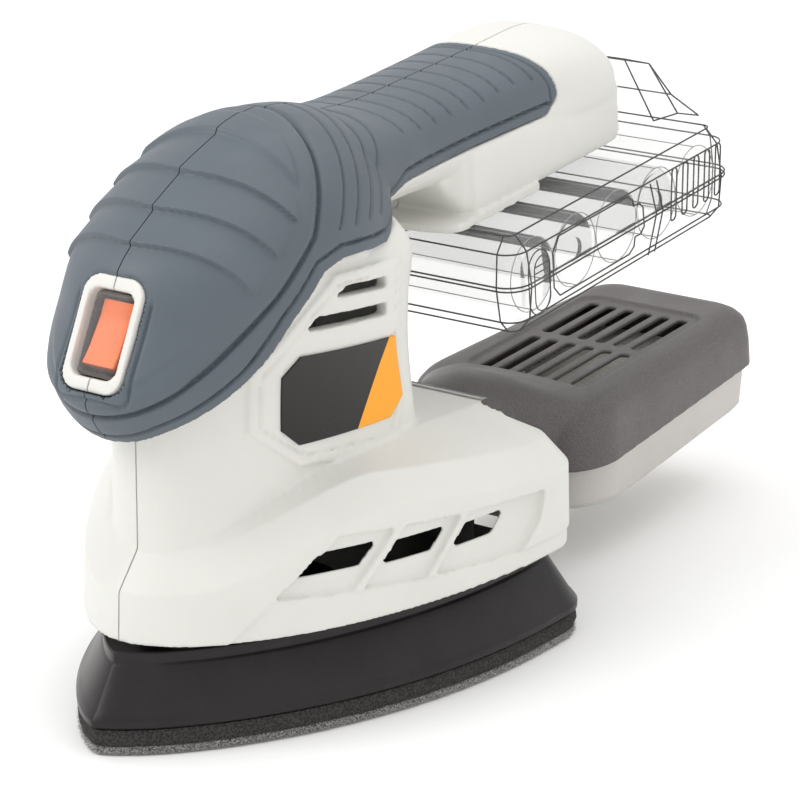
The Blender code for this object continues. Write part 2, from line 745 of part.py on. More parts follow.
def make_plate():
    finish(body(slab(plate_outline(0.6), 0.0, SHEET_TOP)), "hook_layer", "hook_layer", PLATE_AXIS)
    foam = body(slab(plate_outline(0.4), SHEET_TOP + GAP, FOAM_TOP))
    finish(foam, "foam_pad", "foam", PLATE_AXIS)
    rings = []
    levels = ((0.0, FOAM_TOP + GAP), (0.0, PLATEN_RIM_TOP), (1.4, PLATEN_FOOT_TOP),
              (7.2, PLATEN_NECK), (8.0, PLATEN_TOP))
    for inset, z in levels:
        rings.append([(x, y, z) for x, y in plate_outline(inset)])
    platen = body(solid_from_rings(rings))
    well = ((14.0, 12.0), (25.0, 12.0), (25.0, 30.0), (14.0, 30.0))
    platen = minus(platen, body(turned_tube(well, PLATE_AXIS)))
    radius = POST_RADIUS + THROW + POCKET_PLAY
    for x, y in POSTS:
        # At rest the plate sits one throw to the rear, so its pockets do too.
        centre = (x, y + THROW, 0.0)
        pocket = turned(((radius, POST_LOW - POCKET_PLAY), (radius, 30.0)), centre, segments=20)
        platen = minus(platen, body(pocket))
    hub = body(turned(((14.2, 11.0), (14.2, 23.6)), PLATE_AXIS))
    platen = joined(platen, hub)
    seat = ((8.0, 11.0), (8.0, 16.0), (11.3, 16.0), (11.3, 30.0))
    platen = minus(platen, body(turned(seat, PLATE_AXIS)))
    finish(platen, "platen", "black_plastic", PLATE_AXIS)
    ring = ((4.0, 16.3), (11.0, 16.3), (11.0, 23.3), (4.0, 23.3))
    finish(body(turned_tube(ring, PLATE_AXIS)), "plate_bearing", "steel", PLATE_AXIS)


def make_posts():
    names = ("rubber_post_front", "rubber_post_left", "rubber_post_right")
    for name, (x, y) in zip(names, POSTS):
        profile = ((POST_RADIUS, POST_LOW), (POST_RADIUS, 15.0), (POST_RADIUS - 1.2, 17.0),
                   (POST_RADIUS - 1.2, 33.0), (POST_RADIUS, 35.0), (POST_RADIUS, POST_HIGH))
        finish(body(turned(profile, (x, y, 0.0), segments=16)), name, "rubber")


# ------------------------------------------------------------------- dust box

def on_port(mesh):
    """Places a shape drawn in the dust box's own frame."""
    turn = Matrix.Rotation(BOX_TILT, 4, "X")
    turn.translation = PORT_CENTRE
    return body(moved(mesh, turn))


def box_outline(inset, front):
    """Plan outline of the dust box: rounded shoulders and a slight taper to the rear."""
    half = BOX_HALF_WIDTH - inset
    rear = BOX_REAR - inset
    right = ((half - 14.0, front + inset), (half - 6.0, front + inset + 3.2),
             (half - 1.7, front + inset + 8.5), (half, front + inset + 16.0),
             (half - 4.4, rear - 7.5), (half - 5.6, rear - 3.2), (half - 8.6, rear - 0.8),
             (half - 13.0, rear))
    left = [(-x, y) for x, y in reversed(right)]
    return list(right) + left


def box_block(levels, front):
    return on_port(solid_from_rings(
        [[(x, y, z) for x, y in box_outline(inset, front)] for inset, z in levels]
    ))


def hood_solid(steps=24):
    """The lid's front: a round socket that flares into the lid's shoulders."""
    rings = []
    stations = (
        (3.0, SOCKET_RADIUS, -SOCKET_RADIUS, SOCKET_RADIUS, 2.0),
        (14.0, SOCKET_RADIUS, -SOCKET_RADIUS, SOCKET_RADIUS, 2.0),
        (24.0, 20.5, -13.0, 13.2, 2.3), (32.0, 25.0, -11.2, 9.6, 2.7),
        (42.0, 26.0, -11.2, 6.6, 3.2), (50.0, 22.0, -11.2, 5.0, 3.2),
    )
    for y, half_width, low, high, power in stations:
        section = superellipse(half_width, low, high, power, steps)
        rings.append([(x, y, z) for x, z in section])
    return on_port(solid_from_rings(rings))


def make_dust_box():
    lid = box_block(((0.0, LID_BOTTOM), (0.6, 0.0), (2.4, 3.8), (6.0, LID_TOP)), BOX_FRONT)
    along = Vector((0, math.cos(BOX_TILT), math.sin(BOX_TILT)))
    lid = joined(lid, hood_solid())
    below = on_port(box((-40.0, 22.0, -40.0), (40.0, 130.0, LID_BOTTOM)))
    lid = minus(lid, below)
    room = box_block(((2.0, LID_BOTTOM - 3.0), (2.6, -0.6), (4.4, 2.0), (7.0, 3.5)), 25.5)
    lid = minus(lid, room)
    lid = minus(lid, port_cylinder(SOCKET_RADIUS - 2.3, 0.0, 16.0, 28))
    lid = minus(lid, port_cylinder(8.5, 10.0, 28.0))
    for front, rear in SLOT_ROWS:
        for index in range(SLOTS):
            x = (index - (SLOTS - 1) / 2) * SLOT_PITCH
            low_x, high_x = x - SLOT_WIDTH / 2, x + SLOT_WIDTH / 2
            lid = minus(lid, on_port(box((low_x, front, -2.0), (high_x, rear, 12.0))))
    finish(lid, "dust_lid", "lid_grey")
    tray = box_block(((5.0, TRAY_BOTTOM), (2.0, TRAY_BOTTOM + 2.6), (1.4, TRAY_TOP)), TRAY_FRONT)
    hollow = ((7.0, TRAY_BOTTOM + 1.6), (4.0, TRAY_BOTTOM + 4.0), (3.2, TRAY_TOP + 4.0))
    tray = minus(tray, box_block(hollow, TRAY_FRONT))
    finish(tray, "dust_tray", "tray_clear")
    filter_levels = ((4.6, -9.6), (4.6, -6.4))
    finish(box_block(filter_levels, TRAY_FRONT + 2.0), "dust_filter", "filter_cloth")
    seal = ((PORT_RADIUS + GAP, 5.0), (SOCKET_RADIUS - 2.3 - GAP, 5.0),
            (SOCKET_RADIUS - 2.3 - GAP, 9.0), (PORT_RADIUS + GAP, 9.0))
    finish(body(turned_tube(seal, PORT_CENTRE, along, 24)), "port_seal", "rubber")


# -------------------------------------------------------------------- battery

def pack_block(levels, front=PACK_FRONT, rear=PACK_REAR):
    rings = []
    for inset, z in levels:
        corner = max(1.0, PACK_CORNER - inset)
        outline = rounded_box(PACK_HALF_WIDTH - inset, front + inset, rear - inset, corner, 3)
        rings.append([(x, y, z) for x, y in outline])
    return body(on_rake(solid_from_rings(rings)))


def rail_box(low, high):
    return body(on_rake(box(low, high)))


def latch_hole(side, margin):
    """The room for one side button in the pack's wall, in the rail's frame."""
    low_x, high_x = sorted((side * 32.8, side * 42.0))
    return rail_box((low_x, LATCH_Y - 4.5 - margin, -20.5 - margin),
                    (high_x, LATCH_Y + 4.5 + margin, -4.5 + margin))


def make_battery():
    wall = PACK_WALL
    case = pack_block(((4.0, PACK_BOTTOM), (1.0, PACK_BOTTOM + 3.5), (0.0, PACK_SEAM),
                       (1.0, -4.0), (4.0, PACK_TOP)))
    rear_block = ((-29.0, -6.0), (29.0, -6.0), (29.0, 7.0), (21.0, 22.0), (-21.0, 22.0),
                  (-29.0, 7.0))
    rings = []
    for y, top in ((69.6, 1.0), (81.0, 0.8), (91.0, 0.3)):
        rings.append([(x, y, z if z < 0 else z * top) for x, z in rear_block])
    case = joined(case, body(on_rake(solid_from_rings(rings))))
    case = joined(case, rail_box((-8.5, 13.0, -4.0), (8.5, 71.0, 5.0)))
    case = joined(case, rail_box((-12.5, 13.0, 4.0), (12.5, 71.0, 8.5)))
    room = pack_block(((4.3, PACK_BOTTOM + wall), (2.6, PACK_BOTTOM + 4.6),
                       (wall, PACK_SEAM), (2.4, -5.0), (4.6, PACK_TOP - wall)))
    case = minus(case, room)
    for side in (-1, 1):
        low_x, high_x = sorted((side * 3.6, side * 6.6))
        case = minus(case, rail_box((low_x, 10.0, 3.0), (high_x, 23.0, 7.4)))
        case = minus(case, latch_hole(side, 0.4))
    upper = within(copy_of(case), rail_box((-60.0, -60.0, PACK_SEAM + GAP / 2),
                                           (60.0, 160.0, 60.0)))
    lower = within(case, rail_box((-60.0, -60.0, -60.0), (60.0, 160.0, PACK_SEAM - GAP / 2)))
    finish(upper, "battery_case_upper", "pack_clear")
    finish(lower, "battery_case_lower", "pack_clear")
    middle = (PACK_FRONT + PACK_REAR) / 2
    turn = Matrix.Rotation(RAKE, 4, "X")
    turn.translation = RAIL_ORIGIN
    for index in range(CELLS):
        y = middle + (index - (CELLS - 1) / 2) * CELL_PITCH
        centre = turn @ Vector((0.0, y, (PACK_TOP + PACK_BOTTOM) / 2))
        half = CELL_LENGTH / 2
        profile = ((CELL_RADIUS, -half), (CELL_RADIUS, half - 1.0), (3.0, half - 1.0), (3.0, half))
        direction = (1, 0, 0) if index % 2 else (-1, 0, 0)
        cell = body(turned(profile, centre, direction, 18))
        finish(cell, f"battery_cell_{index + 1}", "cell_wrap")
    for side, name in ((-1, "latch_button_left"), (1, "latch_button_right")):
        low_x, high_x = sorted((side * 34.4, side * 37.6))
        outline = rounded_box(4.4, -8.0, 8.0, 4.3, 4)
        button = solid_from_rings([[(x, LATCH_Y + y, -12.5 + z) for y, z in outline]
                                   for x in (low_x, high_x)])
        pivot = turn @ Vector((side * 36.0, LATCH_Y, -12.5))
        finish(body(on_rake(button)), name, "pack_clear", pivot)
    block = rail_box((-8.0, 8.4, 4.2), (8.0, 11.6, 8.4))
    for side in (-1, 1):
        low_x, high_x = sorted((side * 4.4, side * 5.8))
        block = joined(block, rail_box((low_x, 11.0, 4.8), (high_x, 21.0, 6.8)))
    finish(block, "terminal_block", "black_plastic")
    finish(rail_box((-10.5, -6.0, 16.0), (10.5, 46.0, 17.6)), "control_board", "board_green")


clear_scene()
make_housing()
make_grips()
make_labels()
make_switch()
make_motor()
make_fan()
make_eccentric()
make_plate()
make_posts()
make_dust_box()
make_battery()
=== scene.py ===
"""Looks for the cordless sander: moulded shells, soft grip, foam pad, dust box and clear battery.

The shapes repeat the CAD's driving dimensions at a finer resolution, in millimetres, with the nose
to -Y, +Z up and X = 0 on the seam between the housing halves.
"""
import math
import random

import bmesh
import bpy
import numpy as np
from mathutils import Matrix, Vector


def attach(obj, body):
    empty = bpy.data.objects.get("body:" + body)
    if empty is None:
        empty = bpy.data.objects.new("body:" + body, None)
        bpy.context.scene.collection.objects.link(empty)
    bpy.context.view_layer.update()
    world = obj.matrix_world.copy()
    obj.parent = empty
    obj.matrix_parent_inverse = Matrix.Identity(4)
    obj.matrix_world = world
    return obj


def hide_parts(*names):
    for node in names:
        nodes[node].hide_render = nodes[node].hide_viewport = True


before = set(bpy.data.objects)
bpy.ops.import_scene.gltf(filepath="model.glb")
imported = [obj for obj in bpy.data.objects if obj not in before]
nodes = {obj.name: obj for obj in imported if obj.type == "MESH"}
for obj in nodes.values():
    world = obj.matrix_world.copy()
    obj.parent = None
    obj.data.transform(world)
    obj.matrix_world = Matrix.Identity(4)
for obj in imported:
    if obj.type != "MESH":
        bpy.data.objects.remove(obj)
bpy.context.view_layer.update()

MM = 0.001
GAP = 0.3
WALL = 2.4
GRIP_WALL = 2.6
SHELL_VOXEL = 0.5
GRIP_VOXEL = 0.42
LID_VOXEL = 0.42

# Sanding plate
SHEET_TOP = 2
FOAM_TOP = 6
PLATE = (48.6, -72.5, 35, 58, 13, 0.74)     # half width, tip, widest, rear, corner, power
SKIRT = (48, -63, 40, 55, 13, 0.55)
SKIRT_BOTTOM = 24
NECK = (    # height, half width, tip, rear
    (42, 25.5, -55.8, 22), (58, 25.3, -55.6, 19.8), (78, 25.5, -55.4, 16.5),
    (92, 27, -55, 14.5), (103, 28.4, -52, 13.8), (109.6, 25, -46, 11),
)
NECK_POWER = 0.45
PLATE_AXIS = Vector((0, -18.8, 0))
POSTS = ((0, -48.8), (-28, 29.2), (28, 29.2))

# Head and handle
HEAD_HALF_WIDTH = 32
HEAD_CENTRE = Vector((-20, 98))
HEAD_PROFILE = (
    (-52, 62), (-61, 68.5), (-67.5, 74.5), (-70.6, 80.5), (-70.4, 85), (-65, 96),
    (-59.8, 107), (-55, 112.3), (-47.5, 118.6), (-38.4, 125), (-27, 130.8),
    (-16, 134.4), (-3, 134.6), (9, 131.5), (17, 124), (19, 112), (13, 96),
    (-2, 80), (-20, 68), (-37, 61.5),
)
HANDLE = (
    (-4, 104, 132, 23), (10, 106.5, 130.8, 21.5), (24, 107, 130.3, 19.6),
    (42, 107, 131.8, 19.2), (60, 107.5, 133.6, 19.8), (78, 108.5, 135.5, 20.8),
    (90, 110, 136.8, 21.8), (99, 111, 136.4, 21.8), (105, 112.5, 133.5, 20.8),
    (108, 115.5, 129, 18),
)
GRIP_EDGE = (
    (-64.5, 70.5), (-61.5, 75), (-49, 85.5), (-37, 97), (-27, 105.5), (-20, 107.5),
    (-1, 106.6), (9, 109.5), (18, 115), (50, 118), (75, 120.2),
)
GRIP_END = 79
TAIL_BOW = 5    # how far the grip's tail is shorter on the centre line

# Lines moulded into the grip, in the side view: the dome pad's border and the ends of its bands
PAD_BORDER = (
    (-6, 138), (-13, 131.5), (-21, 121), (-27, 113), (-42, 101),
    (-60, 87), (-72, 76),
)
PAD_RIM = 4.6
PAD_STEP = 0.45
BANDS = ((-26, 0), (-38.5, 9), (-47.5, 10), (-55, 10))
BAND_RISE = 1.15
NECK_GROOVES = (-4, 1.5, 7, 12.5)
HANDLE_GROOVES = (18.5, 25.2, 31.6, 38, 44.4, 50.8, 57.2, 63.6, 70)

# Switch panel
PANEL_LOW = Vector((0, -70.4, 84))
PANEL_HIGH = Vector((0, -59.6, 107))
BEZEL = (16.6, 25.6)
WINDOW = (12.6, 19.4)

# Battery rail, pack and dust box
RAKE = math.radians(6)
RAIL_ORIGIN = Vector((0, 42, 99))
RAIL_LENGTH = 66
FLANGE_HALF_WIDTH = 21
FLANGE_TOP = 2.2
PACK = (36.5, -4, 95)    # half width, front, rear
PACK_CORNER = 6
PACK_SEAM = -12.4
PACK_LEVELS = ((4, -24.4), (1, -20.9), (0, PACK_SEAM), (1, -4), (4, -0.4))
PACK_ROOM = ((4.3, -22.6), (2.6, -19.8), (1.8, PACK_SEAM), (2.4, -5), (4.6, -2.2))
CASE_SLOTS = 5
CASE_SLOT_PITCH = 5.3
CELLS = 5
CELL_RADIUS = 9.1
CELL_HALF_LENGTH = 32.4
CELL_PITCH = 18.6
LATCH_Y = 5
LATCH_Z = -12.5
PORT_CENTRE = Vector((0, 55, 36))
PORT_RADIUS = 10
BOX_TILT = math.radians(4.5)
BOX = (30, 24, 119)    # half width, front, rear
SHOULDER = (14, 16)    # across, along
REAR_CORNER = 7
BOX_TAPER = 4.4
TRAY_FRONT = 26
SOCKET_RADIUS = 15.8
HOOD = (    # y, half width, low, high, squareness
    (3, 15.8, -15.8, 15.8, 2), (14, 15.8, -15.8, 15.8, 2),
    (24, 20.5, -13, 13.2, 2.3), (32, 25, -11.2, 9.6, 2.7),
    (42, 26, -11.2, 6.6, 3.2), (50, 22, -11.2, 5, 3.2),
)
SLOTS = 6
SLOT_ROWS = ((45, 70), (74, 99))
SLOT_PITCH = 5.6
SLOT_WIDTH = 3
SCREWS = ((-47, 60), (12, 64), (41, 46), (26, 118.5), (92, 124))

# Side outlines on the neck's flanks, as (y, z): the label, the raised panel and the cooling slots
LABEL = (
    (2.5, 64), (7.1, 68.1), (3.4, 83.3), (-27.3, 85.3), (-32, 81.2), (-32, 68.9),
    (-27.3, 64.7),
)
PANEL = (
    (5.6, 57.4), (9, 68), (3, 102.6), (-18.8, 102.6), (-39.5, 82.8), (-39.5, 69.7),
    (-26.5, 59.3),
)
NECK_SLOTS = (
    ((-18.9, 97.2), (-15.2, 99.2), (-2, 98.8), (-1, 95.9)),
    ((-26, 90.7), (-22.9, 93.6), (-0.4, 92.1), (0.2, 89.1)),
)

# The skirt's vent strip: its side outline, the lower step, and windows as front, rear, low, high
STRIP = ((-42, 33), (27, 28.5), (33.5, 34), (36, 41), (-27, 45.5))
STEP = ((-54, 20), (60, 20), (60, 28.3), (27, 28.5), (-42, 33))
WINDOWS = ((-32.5, -17, 37.3, 41.9), (-11.5, 2.5, 36.2, 40.8), (9, 22, 35.2, 39.8))
WINDOW_LEAN = 4.6
BARS = ((-11.7, -9.1, 28, 46), (8.9, 11.5, 28, 46))
BAR_LEAN = 16.2
STRIPE_LEAN = 0.55
STRIPE_WIDTH = 5

# The camera, in metres
CAMERA_AIM = Vector((0, 0.0429, 0.0523))
CAMERA_DISTANCE = 0.7805
CAMERA_TURN = math.radians(36)
CAMERA_RISE = math.radians(18)


# ---- mesh tools ----

def solid_from_rings(rings):
    """A closed solid skinned over rings with equal point counts."""
    mesh = bmesh.new()
    layers = [[mesh.verts.new(Vector(point) * MM) for point in ring] for ring in rings]
    count = len(layers[0])
    for lower, upper in zip(layers, layers[1:]):
        for i in range(count):
            j = (i + 1) % count
            mesh.faces.new((lower[i], lower[j], upper[j], upper[i]))
    mesh.faces.new(list(reversed(layers[0])))
    mesh.faces.new(layers[-1])
    bmesh.ops.recalc_face_normals(mesh, faces=mesh.faces)
    return mesh


def slab(outline, low, high):
    return solid_from_rings([[(x, y, z) for x, y in outline] for z in (low, high)])


def lofted(levels, outline_at):
    """A solid through (inset, height) levels, with the plan outline that each inset gives."""
    return solid_from_rings([[(x, y, z) for x, y in outline_at(inset)] for inset, z in levels])


def side_prism(outline, reach):
    """A prism through the whole tool from a side outline of (y, z)."""
    return body(solid_from_rings([[(x, y, z) for y, z in outline] for x in (-reach, reach)]))


def box(low, high):
    outline = ((low[0], low[1]), (high[0], low[1]), (high[0], high[1]), (low[0], high[1]))
    return slab(outline, low[2], high[2])


def facing(direction, centre):
    turn = Vector((0, 0, 1)).rotation_difference(Vector(direction)).to_matrix().to_4x4()
    turn.translation = Vector(centre)
    return turn


def turned(profile, centre=(0, 0, 0), direction=(0, 0, 1), segments=64):
    """A solid of revolution from (radius, height) points along the direction."""
    place = facing(direction, centre)
    rings = []
    for radius, height in profile:
        ring = []
        for i in range(segments):
            angle = 2 * math.pi * i / segments
            ring.append(place @ Vector((radius * math.cos(angle), radius * math.sin(angle), height)))
        rings.append(ring)
    return solid_from_rings(rings)


def rod(radius, low, high, centre, direction=(0, 0, 1), segments=64):
    return body(turned(((radius, low), (radius, high)), centre, direction, segments))


def moved(mesh, matrix):
    scaled = matrix.copy()
    scaled.translation = matrix.translation * MM
    bmesh.ops.transform(mesh, matrix=scaled, verts=mesh.verts)
    return mesh


def fill(data, mesh):
    """Writes the bmesh into the mesh data as triangles."""
    bmesh.ops.triangulate(mesh, faces=mesh.faces)
    mesh.to_mesh(data)
    mesh.free()


def body(mesh, name="helper"):
    """An object that holds the bmesh."""
    data = bpy.data.meshes.new(name)
    fill(data, mesh)
    obj = bpy.data.objects.new(name, data)
    bpy.context.scene.collection.objects.link(obj)
    return obj


def baked(obj):
    """Applies the object's modifiers to its mesh."""
    bpy.context.view_layer.update()
    graph = bpy.context.evaluated_depsgraph_get()
    data = bpy.data.meshes.new_from_object(obj.evaluated_get(graph))
    obj.modifiers.clear()
    obj.data = data
    return obj


def combine(target, tool, operation):
    modifier = target.modifiers.new("cut", "BOOLEAN")
    modifier.object = tool
    modifier.operation = operation
    modifier.solver = "MANIFOLD"
    baked(target)
    mesh = bmesh.new()
    mesh.from_mesh(target.data)
    fill(target.data, mesh)
    bpy.data.objects.remove(tool, do_unlink=True)
    return target


def joined(first, *others):
    for other in others:
        combine(first, other, "UNION")
    return first


def minus(first, *others):
    for other in others:
        combine(first, other, "DIFFERENCE")
    return first


def within(first, other):
    return combine(first, other, "INTERSECT")


def copy_of(obj):
    twin = bpy.data.objects.new("copy", obj.data.copy())
    bpy.context.scene.collection.objects.link(twin)
    return twin


def softened(obj, voxel, passes, frame_of_shape=None):
    """Gives a cut shell an even mesh with rounded edges, on a grid that follows its own frame."""
    turn = frame_of_shape or Matrix.Identity(4)
    obj.data.transform(turn.inverted())
    grid = obj.modifiers.new("grid", "REMESH")
    grid.mode = "VOXEL"
    grid.voxel_size = voxel * MM
    even = obj.modifiers.new("even", "SMOOTH")
    even.factor = 0.5
    even.iterations = passes
    baked(obj)
    obj.data.transform(turn)
    return obj


def half_of(obj, side):
    low_x, high_x = sorted((side * GAP / 2, side * 120))
    return within(obj, body(box((low_x, -150, -20), (high_x, 250, 200))))


def place_halves(obj, name, slot, material, cad_name):
    """Splits a piece on the seam plane and places both halves on the tool's main body."""
    for side, hand in ((1, "right"), (-1, "left")):
        half = half_of(copy_of(obj), side)
        place(half, f"{name}_{hand}", "root", slot, material, [f"{cad_name}_{hand}"])
    bpy.data.objects.remove(obj, do_unlink=True)


def place(obj, name, rider, slot, material, stands_for=(), sharp=32):
    """Names a finished piece, gives it its material and ties it to its CAD body."""
    obj.name = name
    obj.data.name = name
    obj.data.materials.clear()
    obj.data.materials.append(material)
    if obj.type == "MESH":
        obj.data.shade_smooth()
        obj.data.set_sharp_from_angle(angle=math.radians(sharp))
    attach(obj, rider)
    if stands_for:
        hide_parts(*stands_for)
    return obj


# ---- outlines ----

def iron_outline(half_width, tip, widest, rear, corner, power, steps):
    """Plan outline of an iron: a nose that swells to the widest line, then rounded rear corners."""
    right = []
    for i in range(1, steps + 1):
        turn = 0.5 * math.pi * i / steps
        x = half_width * math.sin(turn) ** (2 * power)
        right.append((x, widest - (widest - tip) * math.cos(turn)))
    for i in range(10):
        turn = 0.5 * math.pi * i / 9
        x = half_width - corner + corner * math.cos(turn)
        right.append((x, rear - corner + corner * math.sin(turn)))
    left = [(-x, y) for x, y in reversed(right)]
    return [(0, tip)] + right + left


def inset_iron(shape, inset, steps):
    half_width, tip, widest, rear, corner, power = shape
    return iron_outline(half_width - inset, tip + inset, widest, rear - inset,
                        max(2, corner - inset), power, steps)


def superellipse(half_width, low, high, power, steps=72):
    middle = (low + high) / 2
    half_height = (high - low) / 2
    points = []
    for i in range(steps):
        turn = 2 * math.pi * i / steps
        x = math.copysign(abs(math.cos(turn)) ** (2 / power), math.cos(turn))
        z = math.copysign(abs(math.sin(turn)) ** (2 / power), math.sin(turn))
        points.append((half_width * x, middle + half_height * z))
    return points


def spline_point(a, b, c, d, t):
    return 0.5 * (2 * b + (c - a) * t + (2 * a - 5 * b + 4 * c - d) * t * t
                  + (3 * b - a - 3 * c + d) * t ** 3)


def smooth_loop(points, steps=5):
    result = []
    count = len(points)
    for i in range(count):
        a, b, c, d = (Vector(points[(i + k) % count]) for k in (-1, 0, 1, 2))
        for j in range(steps):
            result.append(spline_point(a, b, c, d, j / steps))
    return result


def smooth_row(stations, steps=4):
    """An open Catmull-Rom run through rows of numbers."""
    rows = [np.array(row, float) for row in stations]
    result = []
    for i in range(len(rows) - 1):
        a = rows[max(i - 1, 0)]
        d = rows[min(i + 2, len(rows) - 1)]
        for j in range(steps):
            result.append(spline_point(a, rows[i], rows[i + 1], d, j / steps))
    result.append(rows[-1])
    return result


def rounded_box(half_x, low_y, high_y, corner, steps=8):
    points = []
    corners = (
        (half_x - corner, high_y - corner, 0), (-half_x + corner, high_y - corner, 1),
        (-half_x + corner, low_y + corner, 2), (half_x - corner, low_y + corner, 3),
    )
    for x, y, quarter in corners:
        for i in range(steps + 1):
            turn = 0.5 * math.pi * (quarter + i / steps)
            points.append((x + corner * math.cos(turn), y + corner * math.sin(turn)))
    return points


# ---- housing shapes ----

def crease_height(y):
    """Height of the skirt's shoulder: low at the nose, high at mid side, lower at the rear."""
    if y < -14:
        share = max(0, min(1, (y + 62) / 48))
        return 35.5 + 14.5 * share * share * (3 - 2 * share)
    return 50 - 6 * min(1, (y + 14) / 50)


def skirt_solid(inset, bottom):
    levels = ((0, None), (0.6, -0.6 * inset), (6.5, 6.8 - inset), (20, None))
    rings = []
    for spread, lift in levels:
        outline = inset_iron(SKIRT, inset + spread, 40)
        if spread == 0:
            rings.append([(x, y, bottom) for x, y in outline])
        elif lift is None:
            rings.append([(x, y, 59 - inset) for x, y in outline])
        else:
            rings.append([(x, y, crease_height(y) + lift) for x, y in outline])
    return body(solid_from_rings(rings))


def neck_solid(inset):
    rings = []
    for z, half_width, tip, rear in smooth_row(NECK):
        outline = iron_outline(half_width - inset, tip + inset, 2, rear - inset,
                               max(2, 8 - inset), NECK_POWER, 32)
        rings.append([(x, y, z) for x, y in outline])
    return body(solid_from_rings(rings))


def head_solid(inset):
    profile = smooth_loop(HEAD_PROFILE)
    size = 1 - inset / 41
    rings = []
    for step in range(-22, 23):
        turn = math.radians(84) * step / 22
        scale = size * math.cos(turn) ** 0.9
        points = [HEAD_CENTRE + (point - HEAD_CENTRE) * scale for point in profile]
        x = (HEAD_HALF_WIDTH - inset) * math.sin(turn)
        rings.append([(x, y, z) for y, z in points])
    return body(solid_from_rings(rings))


def handle_solid(inset):
    rings = []
    for y, low, high, half_width in smooth_row(HANDLE):
        section = superellipse(half_width - inset, low + inset, high - inset, 2.5)
        along = min(y, HANDLE[-1][0] - inset)
        if rings and along <= rings[-1][0][1]:
            continue
        rings.append([(x, along, z) for x, z in section])
    return body(solid_from_rings(rings))


def tilted_frame(tilt, origin):
    frame_of_part = Matrix.Rotation(tilt, 4, "X")
    frame_of_part.translation = origin
    return frame_of_part


def on_rake(mesh):
    return body(moved(mesh, tilted_frame(RAKE, RAIL_ORIGIN)))


def rail_solid():
    stations = (
        (-4, 11, 15.5), (-1, 6, 16.5), (3, 0.5, 19), (12, 0, 20.6),
        (RAIL_LENGTH - 4, 0, 20.8), (RAIL_LENGTH, 0.6, 20.4),
    )
    rings = []
    for y, low, half_width in smooth_row(stations):
        rings.append([(x, y, z) for x, z in superellipse(half_width, max(low, 0), 20, 6)])
    return on_rake(solid_from_rings(rings))


def rail_flange(steps=40):
    """The thin plate at the rail's foot, with a front edge that bows forward."""
    outline = [(FLANGE_HALF_WIDTH, 30), (-FLANGE_HALF_WIDTH, 30)]
    for i in range(steps + 1):
        turn = math.pi * i / steps
        outline.append((-FLANGE_HALF_WIDTH * math.cos(turn), -2.6 - 6 * math.sin(turn)))
    return on_rake(slab(outline, 0, FLANGE_TOP))


def tail_outline(clearance):
    """Plan outline ahead of the grip's tail, which bows forward on the centre line."""
    arc = []
    for step in range(-12, 13):
        x = 60 * step / 12
        bow = TAIL_BOW * max(0, 1 - (x / 20) ** 2)
        arc.append((x, GRIP_END + clearance - bow))
    return [(60, -95)] + arc[::-1] + [(-60, -95)]


def grip_zone(clearance):
    """Everything above the soft grip's lower edge and ahead of its tail."""
    edge = [(y, z - clearance) for y, z in GRIP_EDGE]
    end = GRIP_END + clearance
    outline = [(-95, edge[0][1] - 4)] + edge + [(end, 124 - clearance), (end, 170)]
    outline += [(-95, 170)]
    return within(side_prism(outline, 59), body(slab(tail_outline(clearance), 40, 175)))


def panel_frame():
    up = (PANEL_HIGH - PANEL_LOW).normalized()
    out = Vector((1, 0, 0)).cross(up)
    result = Matrix((
        (1, 0, 0, 0), (0, up.y, out.y, 0), (0, up.z, out.z, 0), (0, 0, 0, 1)
    ))
    result.translation = (PANEL_LOW + PANEL_HIGH) / 2
    return result


def panel_block(width, height, low, high, corner):
    outline = rounded_box(width / 2, -height / 2, height / 2, corner)
    return body(moved(slab(outline, low, high), panel_frame()))


def grown(outline, margin):
    """A flat outline with its corners moved away from its middle."""
    middle = sum((Vector(point) for point in outline), Vector((0, 0))) / len(outline)
    return [Vector(point) + (Vector(point) - middle).normalized() * margin for point in outline]


def slanted(front, rear, low, high, lean):
    """A prism across the skirt whose side outline leans forward at its foot."""
    outline = ((front - lean, low), (rear - lean, low), (rear, high), (front, high))
    return side_prism(outline, 60)


def port_cylinder(radius, low, high):
    along = Vector((0, math.cos(BOX_TILT), math.sin(BOX_TILT)))
    return rod(radius, low, high, PORT_CENTRE, along)


def flank_band(outer, inner, outline, inset_outline):
    """A line on both flanks between two outlines and between two offsets of the neck."""
    band = within(minus(neck_solid(-outer), neck_solid(-inner)), side_prism(outline, 46))
    return minus(band, side_prism(inset_outline, 47))


def raised_panel():
    """The flank panel that carries the label, with a groove inside its border."""
    plate = within(neck_solid(-1), side_prism(PANEL, 45))
    plate = minus(plate, flank_band(3, 0.2, grown(PANEL, -2.2), grown(PANEL, -3.3)))
    return minus(plate, flank_band(3, 0.2, grown(LABEL, 0.7), LABEL))


